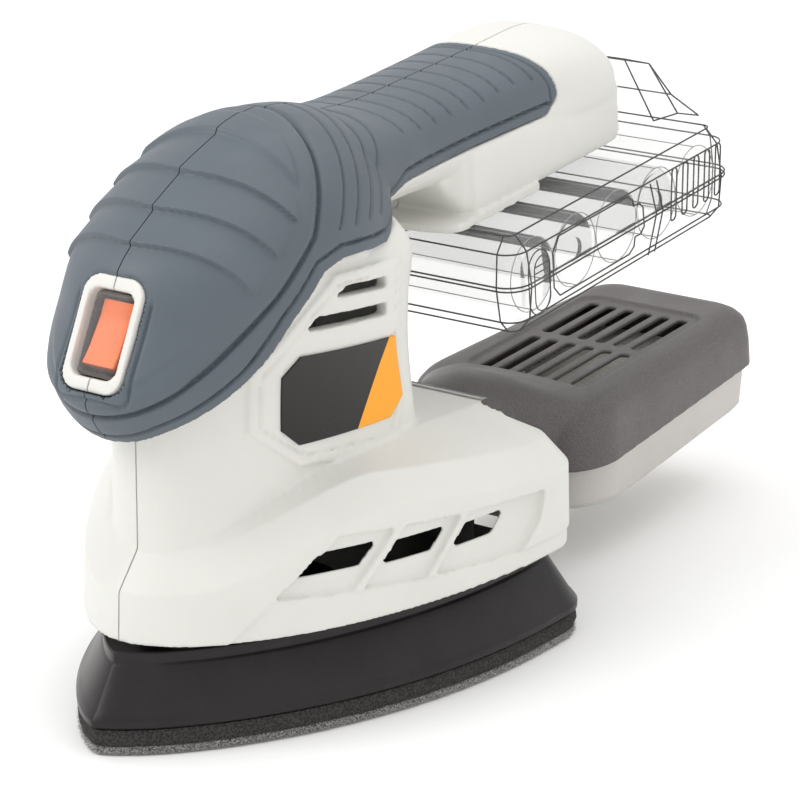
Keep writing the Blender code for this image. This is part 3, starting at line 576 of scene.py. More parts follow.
def housing_shell():
    core = joined(head_solid(GRIP_WALL + GAP / 2), handle_solid(GRIP_WALL + GAP / 2))
    core = within(core, grip_zone(2))
    lower_handle = minus(handle_solid(0), grip_zone(GAP))
    shape = joined(skirt_solid(0, SKIRT_BOTTOM), neck_solid(0), core)
    shape = joined(shape, lower_handle, rail_solid(), rail_flange())
    room = joined(head_solid(-1.2), handle_solid(-GAP))
    room = within(room, grip_zone(GAP))
    room = minus(room, head_solid(GRIP_WALL), handle_solid(GRIP_WALL))
    shape = minus(shape, room)
    shape = joined(shape, raised_panel(), port_cylinder(PORT_RADIUS, -8, 12))
    shape = joined(shape, panel_block(*BEZEL, -9, 0.6, 4.4))
    head_room = within(head_solid(GRIP_WALL + WALL), grip_zone(-1.6))
    inner = joined(skirt_solid(WALL, SKIRT_BOTTOM - 10), neck_solid(WALL), head_room,
                   handle_solid(GRIP_WALL + WALL))
    shell = minus(shape, inner)
    for y, z in SCREWS:
        pillar = rod(4.8, -30, 30, (0, y, z), (1, 0, 0), 32)
        if z < 60:
            limit = skirt_solid(0.8, 20)
        elif z < 100:
            limit = neck_solid(0.8)
        else:
            limit = handle_solid(GRIP_WALL + 0.9)
        shell = joined(shell, within(pillar, limit))
        shell = minus(shell, rod(3.7, -60, -6, (0, y, z), (1, 0, 0), 32))
    shell = minus(shell, port_cylinder(PORT_RADIUS - 1.8, -14, 14))
    return minus(shell, panel_block(*WINDOW, -20, 5, 2.6))


def vented(shell):
    """Cooling slots in the neck, the louvred strip in the skirt and the step line below it."""
    for outline in NECK_SLOTS:
        shell = minus(shell, side_prism(outline, 45))
    lower = within(skirt_solid(-1, 19), side_prism(STEP, 60))
    shell = minus(shell, minus(lower, skirt_solid(0.5, 18)))
    recess = within(skirt_solid(-1, 22), side_prism(STRIP, 60))
    recess = minus(recess, skirt_solid(1.7, 20))
    for bar in BARS:
        recess = minus(recess, slanted(*bar, BAR_LEAN))
    shell = minus(shell, recess)
    for window in WINDOWS:
        shell = minus(shell, slanted(*window, WINDOW_LEAN))
    return shell


def make_housing(material):
    shell = softened(vented(housing_shell()), SHELL_VOXEL, 2)
    place_halves(shell, "shell", "white_abs", material, "housing")


# ---- soft grip ----

def distance_to_path(y, z, path):
    """Distance in the side view to an open path, and on which side of it a point lies."""
    best = np.full(len(y), 1e9)
    side = np.zeros(len(y))
    for (y0, z0), (y1, z1) in zip(path, path[1:]):
        dy, dz = y1 - y0, z1 - z0
        share = np.clip(((y - y0) * dy + (z - z0) * dz) / (dy * dy + dz * dz), 0, 1)
        away = np.hypot(y - y0 - share * dy, z - z0 - share * dz)
        cross = dy * (z - z0) - dz * (y - y0)
        closer = away < best
        best = np.where(closer, away, best)
        side = np.where(closer, np.sign(cross), side)
    return best, side


def groove(distance, half_width, depth):
    return -depth * np.exp(-(distance / half_width) ** 2 * 1.6)


def smooth_step(value, low, high):
    share = np.clip((value - low) / (high - low), 0, 1)
    return share * share * (3 - 2 * share)


def grip_relief(points):
    """Height of the moulded relief over the plain grip, in millimetres, at each point."""
    x, y, z = np.abs(points[:, 0]), points[:, 1], points[:, 2]
    relief = np.zeros(len(points))

    # The dome's pad: a border groove, a plain rim inside it, then overlapping bands.
    away, side = distance_to_path(y, z, PAD_BORDER)
    inside = np.where(side < 0, away, -away)
    relief += groove(away, 0.6, 1.3)
    relief += 0.7 * smooth_step(inside, 0.2, 2.2)
    on_pad = smooth_step(inside, PAD_RIM - 0.5, PAD_RIM + 0.5)
    relief += PAD_STEP * on_pad
    fronts = [start + sweep * (x / 27) ** 1.6 for start, sweep in BANDS]
    fronts = [np.full(len(x), -6)] + fronts + [np.full(len(x), -76)]
    for rear, front in zip(fronts, fronts[1:]):
        share = np.clip((rear - y) / np.maximum(rear - front, 1e-6), 0, 1)
        in_band = (y <= rear) & (y > front)
        drop = 1 - smooth_step(share, 0.93, 1)
        relief += np.where(in_band, on_pad * BAND_RISE * (share ** 1.5 * drop - 0.45), 0)

    # Border groove along the lower edge and round the tail.
    away, _ = distance_to_path(y, z, GRIP_EDGE)
    relief += groove(away - 2.7, 0.5, 1)
    tail = GRIP_END - TAIL_BOW * np.maximum(0, 1 - (x / 20) ** 2)
    relief += np.where(z > 122, groove(tail - 2.4 - y, 0.42, 0.6), 0)

    # Transverse grooves: long ones down the neck, short ones on the handle.
    for top in NECK_GROOVES:
        line = top - 0.83 * (132 - z)
        near_end = smooth_step(z, 112.6, 113.8)
        relief += near_end * groove((y - line) * 0.8, 0.5, 0.8)
    for start in HANDLE_GROOVES:
        reach = 1 - smooth_step(x, 17, 18.2) * (z < 129)
        line = start + 0.006 * x * x
        relief += np.where(z > 121.5, reach * groove(y - line, 0.45, 0.6), 0)

    # A groove round the sides and the foot of the switch panel.
    local = points @ np.array(panel_frame().to_3x3()) - np.array(
        panel_frame().to_3x3().transposed() @ panel_frame().translation)
    across = np.abs(local[:, 0]) - (BEZEL[0] / 2 - 1)
    below = -local[:, 1] - (BEZEL[1] / 2 - 1)
    outside = np.hypot(np.maximum(across, 0), np.maximum(below, 0))
    low_part = 1 - smooth_step(local[:, 1], 7, 10)
    relief += np.where(z < 108, low_part * groove(outside - 2.6, 0.5, 0.7), 0)
    return relief


def with_relief(obj):
    """Moves the outward-facing vertices along their normals by the relief."""
    data = obj.data
    count = len(data.vertices)
    points = np.empty(count * 3)
    normals = np.empty(count * 3)
    data.vertices.foreach_get("co", points)
    data.vertices.foreach_get("normal", normals)
    points = points.reshape(-1, 3) / MM
    normals = normals.reshape(-1, 3)
    middle = np.zeros_like(points)
    middle[:, 1] = np.clip(points[:, 1], -30, 70)
    middle[:, 2] = np.where(points[:, 1] < 0, 100, 119)
    outward = np.einsum("ij,ij->i", normals, points - middle)
    distance = np.linalg.norm(points - middle, axis=1)
    facing_out = smooth_step(outward / distance, 0.25, 0.6)
    points += normals * (grip_relief(points) * facing_out)[:, None]
    data.vertices.foreach_set("co", (points * MM).reshape(-1))
    data.update()
    return obj


def make_grips(material):
    skin = within(joined(head_solid(0), handle_solid(0)), grip_zone(0))
    skin = minus(skin, head_solid(GRIP_WALL - GAP / 2), handle_solid(GRIP_WALL - GAP / 2))
    skin = minus(skin, neck_solid(-GAP))
    width, height = BEZEL
    skin = minus(skin, panel_block(width + 2 * GAP, height + 2 * GAP, -12, 4, 4.6))
    skin = with_relief(softened(skin, GRIP_VOXEL, 2))
    place_halves(skin, "soft_grip", "soft_grip", material, "grip")


def make_labels(material):
    plates = minus(neck_solid(-1.5), neck_solid(-1.02))
    plates = within(plates, side_prism(LABEL, 45))
    place_halves(plates, "label_plate", "label_black", material, "label")


# ---- switch ----

def on_panel(mesh):
    return body(moved(mesh, panel_frame()))


def cover_outline(inset, least_corner):
    return rounded_box(6 - inset, -9.4 + inset, 9.4 - inset, max(2.4 - inset, least_corner))


def make_switch(orange, clear):
    """A waisted rocker under a domed clear cover with a small moulded ring."""
    profile = []
    for step in range(17):
        v = -7.4 + 14.8 * step / 16
        profile.append((v, -2.1 + 0.06 * (abs(v) - 3) ** 1.4 if abs(v) > 3 else -2.1))
    outline = [(-7.4, -7.6), (7.4, -7.6)] + profile[::-1]
    rings = []
    for x in (-4.5, -4.2, 4.2, 4.5):
        trim = 0.3 if abs(x) > 4.4 else 0
        rings.append([(x, v * (1 - trim / 8), w - (trim if w > -5 else 0)) for v, w in outline])
    rocker = solid_from_rings(rings)
    pivot = Vector((0, 0, -5))
    turn = Matrix.Translation(pivot) @ Matrix.Rotation(math.radians(-8), 4, "X")
    rocker = on_panel(moved(rocker, turn @ Matrix.Translation(-pivot)))
    place(rocker, "rocker_paddle", "rocker", "rocker_orange", orange, ["switch_rocker"])

    outer = ((0, -1.2), (0, 0.8), (0.4, 1.7), (1.2, 2.4), (2.4, 2.7))
    inner = ((0.7, -2), (0.7, 0.6), (1.1, 1.2), (1.9, 1.8), (2.8, 2.1))
    cover = minus(*(
        on_panel(lofted(levels, lambda inset: cover_outline(inset, least)))
        for levels, least in ((outer, 0.5), (inner, 0.4))
    ))
    ring = turned(((1.7, 2.4), (1.7, 3.1), (1.3, 3.1), (1.3, 2.8)), (-0.6, 6, 0))
    cover = joined(cover, on_panel(ring))
    place(cover, "switch_dust_cover", "root", "clear_cover", clear, ["switch_cover"])


# ---- plate ----

def stacked(levels):
    return body(lofted(levels, lambda inset: inset_iron(PLATE, inset, 56)))


def make_plate(black, foam, pile, fibre):
    rim = ((0.5, FOAM_TOP + GAP), (0, 6.8), (0, 8.2), (0.3, 8.6), (1.3, 9.9), (1.6, 10.1),
           (7, 18.7), (7.4, 19.1), (7.8, 19.4), (7.9, 21.7), (8.3, 22))
    platen = stacked(rim)
    platen = minus(platen, rod(25, 12, 30, PLATE_AXIS))
    platen = joined(platen, rod(14.2, 11, 23.6, PLATE_AXIS))
    platen = minus(platen, rod(11.3, 16, 30, PLATE_AXIS))
    for x, y in POSTS:
        platen = minus(platen, rod(7, 11.6, 30, (x, y, 0)))
    place(platen, "platen_body", "plate", "black_plastic", black, ["platen"], sharp=25)

    # The foam swells a little between its glued faces.
    levels = []
    for step in range(13):
        share = step / 12
        levels.append((0.7 - 0.45 * math.sin(math.pi * share), SHEET_TOP + GAP + 3.7 * share))
    cushion = stacked(levels)
    uneven(cushion, 0.14, 900)
    place(cushion, "foam_cushion", "plate", "foam", foam, ["foam_pad"], sharp=60)

    sheet = stacked(((1.1, 0), (0.7, 0.5), (0.6, 1.4), (0.9, SHEET_TOP)))
    uneven(sheet, 0.16, 1400)
    place(sheet, "pile_sheet", "plate", "hook_layer", pile, ["hook_layer"], sharp=60)
    place(pile_fringe(), "pile_fringe", "plate", "hook_layer", fibre)


def uneven(obj, depth, scale):
    """Makes a moulded or cut edge slightly irregular, with fixed sine waves."""
    for vertex in obj.data.vertices:
        x, y, z = vertex.co
        wave = math.sin(scale * x + 2.1 * scale * z) * math.cos(0.8 * scale * y + scale * z)
        vertex.co += vertex.normal * (wave * depth * MM * (0 if z < 0.0003 else 1))


def pile_fringe():
    """Short loops and frayed ends that stick out round the edge of the hook-and-loop sheet."""
    chance = random.Random(7)
    outline = [Vector((x, y, 0)) for x, y in inset_iron(PLATE, 0.9, 90)]
    mesh = bmesh.new()
    for start, end in zip(outline, outline[1:] + outline[:1]):
        along = end - start
        outward = Vector((along.y, -along.x, 0)).normalized()
        for _ in range(max(1, round(along.length * 9))):
            root = start + along * chance.random() + Vector((0, 0, chance.uniform(0.25, 1.9)))
            reach = chance.uniform(0.35, 1.05)
            tip = root + outward * reach + along.normalized() * chance.uniform(-0.5, 0.5)
            tip.z = max(0.1, root.z + chance.uniform(-0.7, 0.25))
            middle = (root + tip) / 2 + Vector((0, 0, chance.uniform(0, 0.25)))
            width = Vector((0, 0, 0.055))
            loop = [root - width, middle - width, tip, middle + width, root + width]
            mesh.faces.new([mesh.verts.new(point * MM) for point in loop])
    return body(mesh)


# ---- dust box ----

def on_port(mesh):
    return body(moved(mesh, tilted_frame(BOX_TILT, PORT_CENTRE)))


def box_outline(inset, front):
    """Plan outline of the dust box: round shoulders and a slight taper to the rear."""
    half = BOX[0] - inset
    start = front + inset
    rear = BOX[2] - inset
    right = []
    for i in range(17):
        turn = 0.5 * math.pi * i / 16
        right.append((half - SHOULDER[0] + SHOULDER[0] * math.sin(turn),
                      start + SHOULDER[1] - SHOULDER[1] * math.cos(turn)))
    for i in range(11):
        turn = 0.5 * math.pi * i / 10
        right.append((half - BOX_TAPER - REAR_CORNER + REAR_CORNER * math.cos(turn),
                      rear - REAR_CORNER + REAR_CORNER * math.sin(turn)))
    left = [(-x, y) for x, y in reversed(right)]
    return right + left


def box_block(levels, front):
    return on_port(lofted(levels, lambda inset: box_outline(inset, front)))


def make_dust_box(grey, milky, cloth):
    lid = box_block(((0, -11.2), (0.2, -4), (0.6, 0), (1.2, 2.2), (2.6, 4), (4.4, 5.1),
                     (6.4, 5.5)), BOX[1])
    rings = []
    for y, half_width, low, high, power in smooth_row(HOOD):
        rings.append([(x, y, z) for x, z in superellipse(half_width, low, high, power)])
    lid = joined(lid, on_port(solid_from_rings(rings)))
    lid = minus(lid, on_port(box((-40, 22, -40), (40, 130, -11.2))))
    room = box_block(((2, -14.2), (2.6, -0.6), (4.4, 2), (7, 3.5)), 25.5)
    lid = minus(lid, room, port_cylinder(SOCKET_RADIUS - 2.3, 0, 16),
                port_cylinder(8.5, 10, 28))
    # A shallow recessed field holds the two rows of slots.
    field = slab(rounded_box(19, 41.5, 102.5, 5), 4.7, 9)
    lid = minus(lid, on_port(field))
    for front, rear in SLOT_ROWS:
        for index in range(SLOTS):
            x = (index - (SLOTS - 1) / 2) * SLOT_PITCH
            slot = rounded_box(SLOT_WIDTH / 2, front, rear, 1, 4)
            lid = minus(lid, on_port(slab([(x + u, v) for u, v in slot], -2, 12)))
    lid = softened(lid, LID_VOXEL, 4, Matrix.Rotation(BOX_TILT, 4, "X"))
    place(lid, "dust_lid_shell", "dust_box", "lid_grey", grey, ["dust_lid"])

    tray = box_block(((7.5, -25), (5.6, -24.7), (3.4, -23.6), (2.2, -22), (1.4, -11.6)),
                     TRAY_FRONT)
    hollow = ((8, -23.5), (4.8, -22), (3.8, -20), (3, -7.6))
    tray = minus(tray, box_block(hollow, TRAY_FRONT))
    place(tray, "dust_tray_shell", "dust_tray", "tray_clear", milky, ["dust_tray"])

    # Pleats across the filter cloth.
    rings = []
    for step in range(61):
        y = 36 + 76 * step / 60
        height = -8.2 + 1.3 * (1 if step % 2 else -1)
        half = 20.2
        rings.append([(-half, y, height - 0.3), (half, y, height - 0.3),
                      (half, y, height + 0.3), (-half, y, height + 0.3)])
    place(on_port(solid_from_rings(rings)), "filter_pleats", "dust_box", "filter_cloth", cloth,
          ["dust_filter"])


# ---- battery ----

def rail_point(x, y, z):
    return tilted_frame(RAKE, RAIL_ORIGIN) @ Vector((x, y, z))


def pack_outline(inset):
    half, front, rear = PACK
    corner = max(PACK_CORNER - inset, 1)
    return rounded_box(half - inset, front + inset, rear - inset, corner)


def pack_block(levels):
    return on_rake(lofted(levels, pack_outline))


def rail_box(low, high):
    return on_rake(box(low, high))


def rear_block_rings():
    section = ((-29, -6), (29, -6), (29, 7), (21, 22), (-21, 22), (-29, 7))
    rings = []
    for y, top in ((69.6, 1), (81, 0.8), (91, 0.3)):
        rings.append([(x, y, z if z < 0 else z * top) for x, z in section])
    return rings


def line_set(paths, radius, name, rider, material):
    """Thin round lines, drawn as one curve object. Each path is (points, closed)."""
    data = bpy.data.curves.new(name, "CURVE")
    data.dimensions = "3D"
    data.bevel_depth = radius * MM
    data.bevel_resolution = 1
    for points, closed in paths:
        spline = data.splines.new("POLY")
        spline.points.add(len(points) - 1)
        for slot, point in zip(spline.points, points):
            slot.co = (*(Vector(point) * MM), 1)
        spline.use_cyclic_u = closed
    obj = bpy.data.objects.new(name, data)
    bpy.context.scene.collection.objects.link(obj)
    return place(obj, name, rider, "pack_clear", material)


def on_case_side(side, outline):
    """Points on the case's flank from an outline in the rail's (y, z)."""
    points = []
    for y, z in outline:
        if z > PACK_SEAM:
            lean = (z - PACK_SEAM) / 8.4
        else:
            lean = 1.2 * (PACK_SEAM - z) / 8
        points.append(rail_point(side * (PACK[0] - lean + 0.15), y, z))
    return points


def capsule(y, z, half_length, radius, lean):
    points = []
    for i in range(24):
        turn = 2 * math.pi * i / 24
        rise = math.copysign(half_length - radius, math.sin(turn)) + radius * math.sin(turn)
        points.append((y + radius * math.cos(turn) + lean * rise, z + rise))
    return points


def latch_ring(x, inset):
    outline = rounded_box(4.4 - inset, -8 + inset, 8 - inset, 4.3 - inset)
    return [(x, LATCH_Y + u, LATCH_Z + v) for u, v in outline]


def make_case(clear):
    upper = pack_block(PACK_LEVELS)
    upper = joined(upper, on_rake(solid_from_rings(rear_block_rings())))
    upper = joined(upper, rail_box((-8.5, 13, -4), (8.5, 71, 5)))
    upper = joined(upper, rail_box((-12.5, 13, 4), (12.5, 71, 8.5)))
    upper = minus(upper, pack_block(PACK_ROOM))
    for side in (-1, 1):
        low_x, high_x = sorted((side * 32.8, side * 42))
        upper = minus(upper, rail_box((low_x, LATCH_Y - 4.9, -20.9), (high_x, LATCH_Y + 4.9, -4.1)))
    cut = rail_box((-60, -60, -60), (60, 160, PACK_SEAM - GAP / 2))
    keep = rail_box((-60, -60, PACK_SEAM + GAP / 2), (60, 160, 60))
    lower = within(copy_of(upper), cut)
    upper = within(upper, keep)
    place(upper, "case_upper", "battery", "pack_clear", clear, ["battery_case_upper"])
    place(lower, "case_lower", "battery", "pack_clear", clear, ["battery_case_lower"])


def make_case_lines(ink):
    """The case's edges, its side recess, the cooling slots and a divider, as thin lines."""
    paths = []
    for inset, z in ((0, -12.9), (0, -11.9), (1, -4), (4, -0.3), (1, -21), (4, -24.3)):
        paths.append(([rail_point(x, y, z) for x, y in pack_outline(inset)], True))
    outlines = [pack_outline(inset) for inset, z in PACK_LEVELS]
    for corner in (0, 8, 9, 17, 18, 26, 27, 35):
        path = [rail_point(*outline[corner], z) for outline, (_, z) in zip(outlines, PACK_LEVELS)]
        paths.append((path, False))
    rings = rear_block_rings()
    for ring in rings:
        paths.append(([rail_point(*point) for point in ring[2:]], False))
    for corner in range(2, 6):
        paths.append(([rail_point(*ring[corner]) for ring in rings], False))
    for side in (-1, 1):
        recess = [(15, -19.5), (46, -19.5), (48, -18), (48, -15.5), (50.5, -15.5),
                  (52, -14), (52, -9), (50.5, -7.5), (48, -7.5), (48, -6),
                  (46, -4.5), (15, -4.5), (12, -7.5), (12, -16.5)]
        paths.append((on_case_side(side, recess), True))
        for index in range(CASE_SLOTS):
            slot = capsule(67 + CASE_SLOT_PITCH * index, -10.5, 6.6, 1.2, 0.15)
            paths.append((on_case_side(side, slot), True))
        for y in (57.5, 60.5):
            paths.append((on_case_side(side, [(y - 2, -23), (y, PACK_SEAM), (y - 1, -4.5)]), False))
    line_set(paths, 0.21, "case_edges", "battery", ink)


def make_cells(wrap, pale_ink):
    """Wrapped cans with a bare rim and a button at alternate ends, and the lines round them."""
    circles = []
    middle = (PACK[1] + PACK[2]) / 2
    for index in range(CELLS):
        y = middle + (index - 2) * CELL_PITCH
        centre = rail_point(0, y, PACK_SEAM)
        direction = (1, 0, 0) if index % 2 else (-1, 0, 0)
        can = body(turned(((8.2, -32.5), (8.9, -32.3), (CELL_RADIUS, -31.6), (CELL_RADIUS, 30.4),
                           (8.7, 30.8), (8.7, 31), (CELL_RADIUS - 0.4, 31.4), (8.4, 31.8),
                           (7.4, 31.8), (7.2, 31.2), (3.2, 31.2), (3, CELL_HALF_LENGTH)),
                          centre, direction))
        place(can, f"cell_can_{index + 1}", "battery", "cell_wrap", wrap, [f"battery_cell_{index + 1}"])
        ends = (-CELL_HALF_LENGTH, CELL_HALF_LENGTH)
        for x in ends:
            ring = []
            for step in range(40):
                turn = 2 * math.pi * step / 40
                ring.append(rail_point(x, y + CELL_RADIUS * math.cos(turn),
                                       PACK_SEAM + CELL_RADIUS * math.sin(turn)))
            circles.append((ring, True))
        for offset in (CELL_RADIUS, -CELL_RADIUS):
            circles.append(([rail_point(x, y, PACK_SEAM + offset) for x in ends], False))
    line_set(circles, 0.13, "cell_edges", "battery", pale_ink)


def make_latches(clear, ink):
    for side, name in ((-1, "latch_left"), (1, "latch_right")):
        levels = ((0, 34.4), (0, 36.6), (0.4, 37.3), (1.2, 37.6))
        rings = [latch_ring(side * x, inset) for inset, x in levels]
        if side < 0:
            rings.reverse()
        cap = on_rake(solid_from_rings(rings))
        place(cap, name + "_cap", name, "pack_clear", clear, [name.replace("latch", "latch_button")])
        edges = []
        for inset, x in ((0, 36.7), (1.2, 37.6)):
            edges.append(([rail_point(*point) for point in latch_ring(side * x, inset)], True))
        for v in (3, 4.6):
            edges.append(([rail_point(side * 37.5, LATCH_Y + end, LATCH_Z + v) for end in (-3, 3)],
                          False))
        line_set(edges, 0.16, name + "_edges", name, ink)


# ---- materials ----

def new_material(name, **values):
    material = bpy.data.materials.new(name)
    material.use_nodes = True
    shader = material.node_tree.nodes["Principled BSDF"]
    for key, value in values.items():
        socket = shader.inputs[key.replace("_", " ").title().replace("Ior", "IOR")]
        socket.default_value = (*value, 1.0) if isinstance(value, tuple) else value
    return material


def add(material, kind, values=None, **settings):
    node = material.node_tree.nodes.new(kind)
    for key, value in settings.items():
        setattr(node, key, value)
    for key, value in (values or {}).items():
        node.inputs[key].default_value = value
    return node


def link(material, source, target):
    material.node_tree.links.new(source, target)


def wire(material, source, socket):
    """Links an output to an input of the material's main shader."""
    link(material, source, material.node_tree.nodes["Principled BSDF"].inputs[socket])


def moulded(name, colour, spread, patches, grain, **values):
    """A slightly uneven colour in patches, and a grain of (scale, depth, edge radius, roughness)."""
    material = new_material(name, **values)
    tinted(material, colour, spread, patches)
    grained(material, *grain)
    return material


def own_place(material):
    """The piece's own coordinates, so a pattern stays put as the piece moves."""
    return add(material, "ShaderNodeTexCoord").outputs["Object"]


def noise(material, scale, detail=3.0):
    where = own_place(material)
    node = add(material, "ShaderNodeTexNoise", {"Scale": scale, "Detail": detail, "Roughness": 0.55})
    link(material, where, node.inputs["Vector"])
    return node.outputs["Fac"]


def mapped(material, source, low, high, from_low=0.3, from_high=0.7):
    node = add(material, "ShaderNodeMapRange",
               {"From Min": from_low, "From Max": from_high, "To Min": low, "To Max": high})
    link(material, source, node.inputs["Value"])
    return node.outputs["Result"]


def blended(material, factor, first, second):
    """A colour between two colours."""
    node = add(material, "ShaderNodeMix", data_type="RGBA")
    colours = [socket for socket in node.inputs if socket.type == "RGBA"]
    link(material, factor, node.inputs[0])
    for socket, colour in zip(colours, (first, second)):
        if isinstance(colour, tuple):
            socket.default_value = (*colour, 1.0)
        else:
            link(material, colour, socket)
    return [socket for socket in node.outputs if socket.type == "RGBA"][0]


def tinted(material, colour, spread, scale):
    factor = mapped(material, noise(material, scale), 0.0, 1.0)
    low = tuple(part * (1.0 - spread) for part in colour)
    high = tuple(min(part * (1.0 + spread), 1.0) for part in colour)
    wire(material, blended(material, factor, low, high), "Base Color")


def grained(material, scale, depth, round_edges, rough):
    """Fine moulded grain over rounded edges, and roughness that varies with it."""
    bump = add(material, "ShaderNodeBump", {"Strength": 0.6, "Distance": depth})
    link(material, noise(material, scale, 4.0), bump.inputs["Height"])
    if round_edges:
        bevel = add(material, "ShaderNodeBevel", {"Radius": round_edges}, samples=4)
        link(material, bevel.outputs["Normal"], bump.inputs["Normal"])
    wire(material, bump.outputs["Normal"], "Normal")
    fine = mapped(material, noise(material, scale * 0.02, 5.0), *rough)
    wire(material, fine, "Roughness")


def roughened(material, height):
    """A coarse bump for foam and pile."""
    bump = add(material, "ShaderNodeBump", {"Strength": 1.0, "Distance": 0.0003})
    link(material, height, bump.inputs["Height"])
    wire(material, bump.outputs["Normal"], "Normal")


def white_plastic():
    return moulded("white_abs", (0.67, 0.665, 0.632), 0.018, 45.0, (4200.0, 0.00003, 0.0004, (0.36, 0.46)),
                   specular_ior_level=0.42, subsurface_weight=0.06, subsurface_scale=0.002)


def soft_grip():
    return moulded("soft_grip", (0.088, 0.108, 0.128), 0.05, 60.0, (5200.0, 0.00004, 0.0, (0.42, 0.54)),
                   specular_ior_level=0.45)


def black_plastic():
    return moulded("black_plastic", (0.010, 0.0075, 0.008), 0.25, 120.0,
                   (900.0, 0.00008, 0.0005, (0.26, 0.42)), specular_ior_level=0.32)


def label_foil():
    """Dark foil with a diagonal stripe at its rear end."""
    rear = LABEL[1][0]
    low, high = LABEL[0][1], LABEL[3][1]
    material = new_material("label_foil", specular_ior_level=0.3)
    split = add(material, "ShaderNodeSeparateXYZ")
    link(material, own_place(material), split.inputs["Vector"])
    rise = add(material, "ShaderNodeMath", {1: STRIPE_LEAN}, operation="MULTIPLY")
    link(material, split.outputs["Z"], rise.inputs[0])
    edge = add(material, "ShaderNodeMath", operation="SUBTRACT")
    link(material, split.outputs["Y"], edge.inputs[0])
    link(material, rise.outputs[0], edge.inputs[1])
    limit = (rear - STRIPE_LEAN * high - STRIPE_WIDTH) * MM
    stripe = add(material, "ShaderNodeMath", {1: limit}, operation="GREATER_THAN")
    link(material, edge.outputs[0], stripe.inputs[0])
    # The foil's colour runs darker towards its bottom edge and lighter towards its top edge.
    shade = mapped(material, split.outputs["Z"], 0.0, 1.0, low * MM, high * MM)
    dark = blended(material, shade, (0.012, 0.011, 0.010), (0.028, 0.026, 0.023))
    colour = blended(material, stripe.outputs[0], dark, (0.90, 0.36, 0.012))
    wire(material, colour, "Base Color")
    grained(material, 3000.0, 0.00001, 0.0003, (0.26, 0.34))
    return material


def foam_material():
    material = new_material("foam", roughness=0.95, specular_ior_level=0.2)
    cells = add(material, "ShaderNodeTexVoronoi", {"Scale": 1900.0})
    link(material, own_place(material), cells.inputs["Vector"])
    # Painted shade: each cell's centre, where the bump below sinks into a pit, is painted darker than its
    # walls.
    shade = mapped(material, cells.outputs["Distance"], 0.0, 1.0, 0.0, 0.7)
    colour = blended(material, shade, (0.008, 0.008, 0.008), (0.055, 0.050, 0.050))
    wire(material, colour, "Base Color")
    roughened(material, cells.outputs["Distance"])
    return material


def pile_material(name, dark, light):
    material = new_material(name, roughness=0.9, specular_ior_level=0.2, sheen_weight=0.4)
    shade = mapped(material, noise(material, 2600.0, 4.0), 0.0, 1.0, 0.38, 0.62)
    wire(material, blended(material, shade, dark, light), "Base Color")
    roughened(material, noise(material, 3400.0, 5.0))
    return material


def lid_plastic():
    """Warm grey plastic with a fine sparkle painted into its colour: lighter specks that stand in for
    glints of its sheen.
    """
    material = new_material("lid_grey", specular_ior_level=0.4)
    # Painted glints: lighter specks in the base colour stand in for light sparkling off the lid.
    painted_glints = mapped(material, noise(material, 3800.0, 2.0), 0.0, 1.0, 0.45, 0.72)
    colour = blended(material, painted_glints, (0.085, 0.077, 0.077), (0.155, 0.143, 0.142))
    wire(material, colour, "Base Color")
    grained(material, 3000.0, 0.00012, 0.0005, (0.38, 0.55))
    return material


def milky_plastic():
    return moulded("tray_clear", (0.74, 0.71, 0.68), 0.02, 80.0, (2500.0, 0.00004, 0.0004, (0.38, 0.5)),
                   transmission_weight=0.35, ior=1.45, subsurface_weight=0.2, subsurface_scale=0.004)


def see_through(name, colour, alpha, roughness):
    """Nearly clear plastic: most of the light goes straight through."""
    return moulded(name, colour, 0.03, 90.0, (1500.0, 0.00002, 0.0, roughness),
                   alpha=alpha, specular_ior_level=0.35)


def ink(name, colour):
    material = new_material(name, roughness=0.6, specular_ior_level=0.2)
    tinted(material, colour, 0.1, 300.0)
    return material


def metal(name, colour, rough):
    return moulded(name, colour, 0.06, 200.0, (800.0, 0.00003, 0.0002, rough), metallic=1.0)


def matte(name, colour, rough):
    return moulded(name, colour, 0.08, 200.0, (2000.0, 0.00005, 0.0003, rough), specular_ior_level=0.35)


def dress_hidden_nodes(black):
    """CAD pieces that show only through slots, sockets and gaps."""
    steel = metal("turned_steel", (0.55, 0.55, 0.56), (0.25, 0.4))
    zinc = metal("cast_zinc", (0.42, 0.42, 0.43), (0.4, 0.6))
    copper = metal("wound_copper", (0.62, 0.29, 0.13), (0.3, 0.45))
    ferrite = matte("ferrite", (0.03, 0.03, 0.032), (0.6, 0.75))
    rubber = matte("moulded_rubber", (0.02, 0.02, 0.02), (0.7, 0.85))
    board = matte("solder_mask", (0.02, 0.11, 0.045), (0.3, 0.45))
    finishes = {
        steel: ["motor_can", "plate_screw", "plate_bearing"],
        zinc: ["motor_plate", "eccentric"],
        copper: ["rotor_shaft"],
        ferrite: ["motor_magnets"],
        rubber: ["rubber_post_front", "rubber_post_left", "rubber_post_right", "port_seal"],
        board: ["control_board"],
        black: ["motor_end_cap", "cooling_fan", "switch_body", "terminal_block"],
    }
    for material, names in finishes.items():
        for name in names:
            nodes[name].data.materials.clear()
            nodes[name].data.materials.append(material)
    return steel


def make_screws(steel):
    """Pan heads with a cross recess in place of the plain CAD screws."""
    for index, (y, z) in enumerate(SCREWS):
        head = body(turned(((1.6, 12.5), (1.6, -6.4), (3.2, -6.4), (3.2, -7.6), (2.7, -8.3),
                            (1.4, -8.6))[::-1], (0.0, y, z), (1, 0, 0), 32))
        for turn in (45.0, 135.0):
            bar = box((-9.2, -2.0, -0.35), (-7.6, 2.0, 0.35))
            spin = Matrix.Rotation(math.radians(turn), 4, "X")
            spin.translation = Vector((0.0, y, z))
            head = minus(head, body(moved(bar, spin)))
        place(head, f"cross_screw_{index + 1}", "root", "steel", steel,
              [f"housing_screw_{index + 1}"])


# ---- studio ----

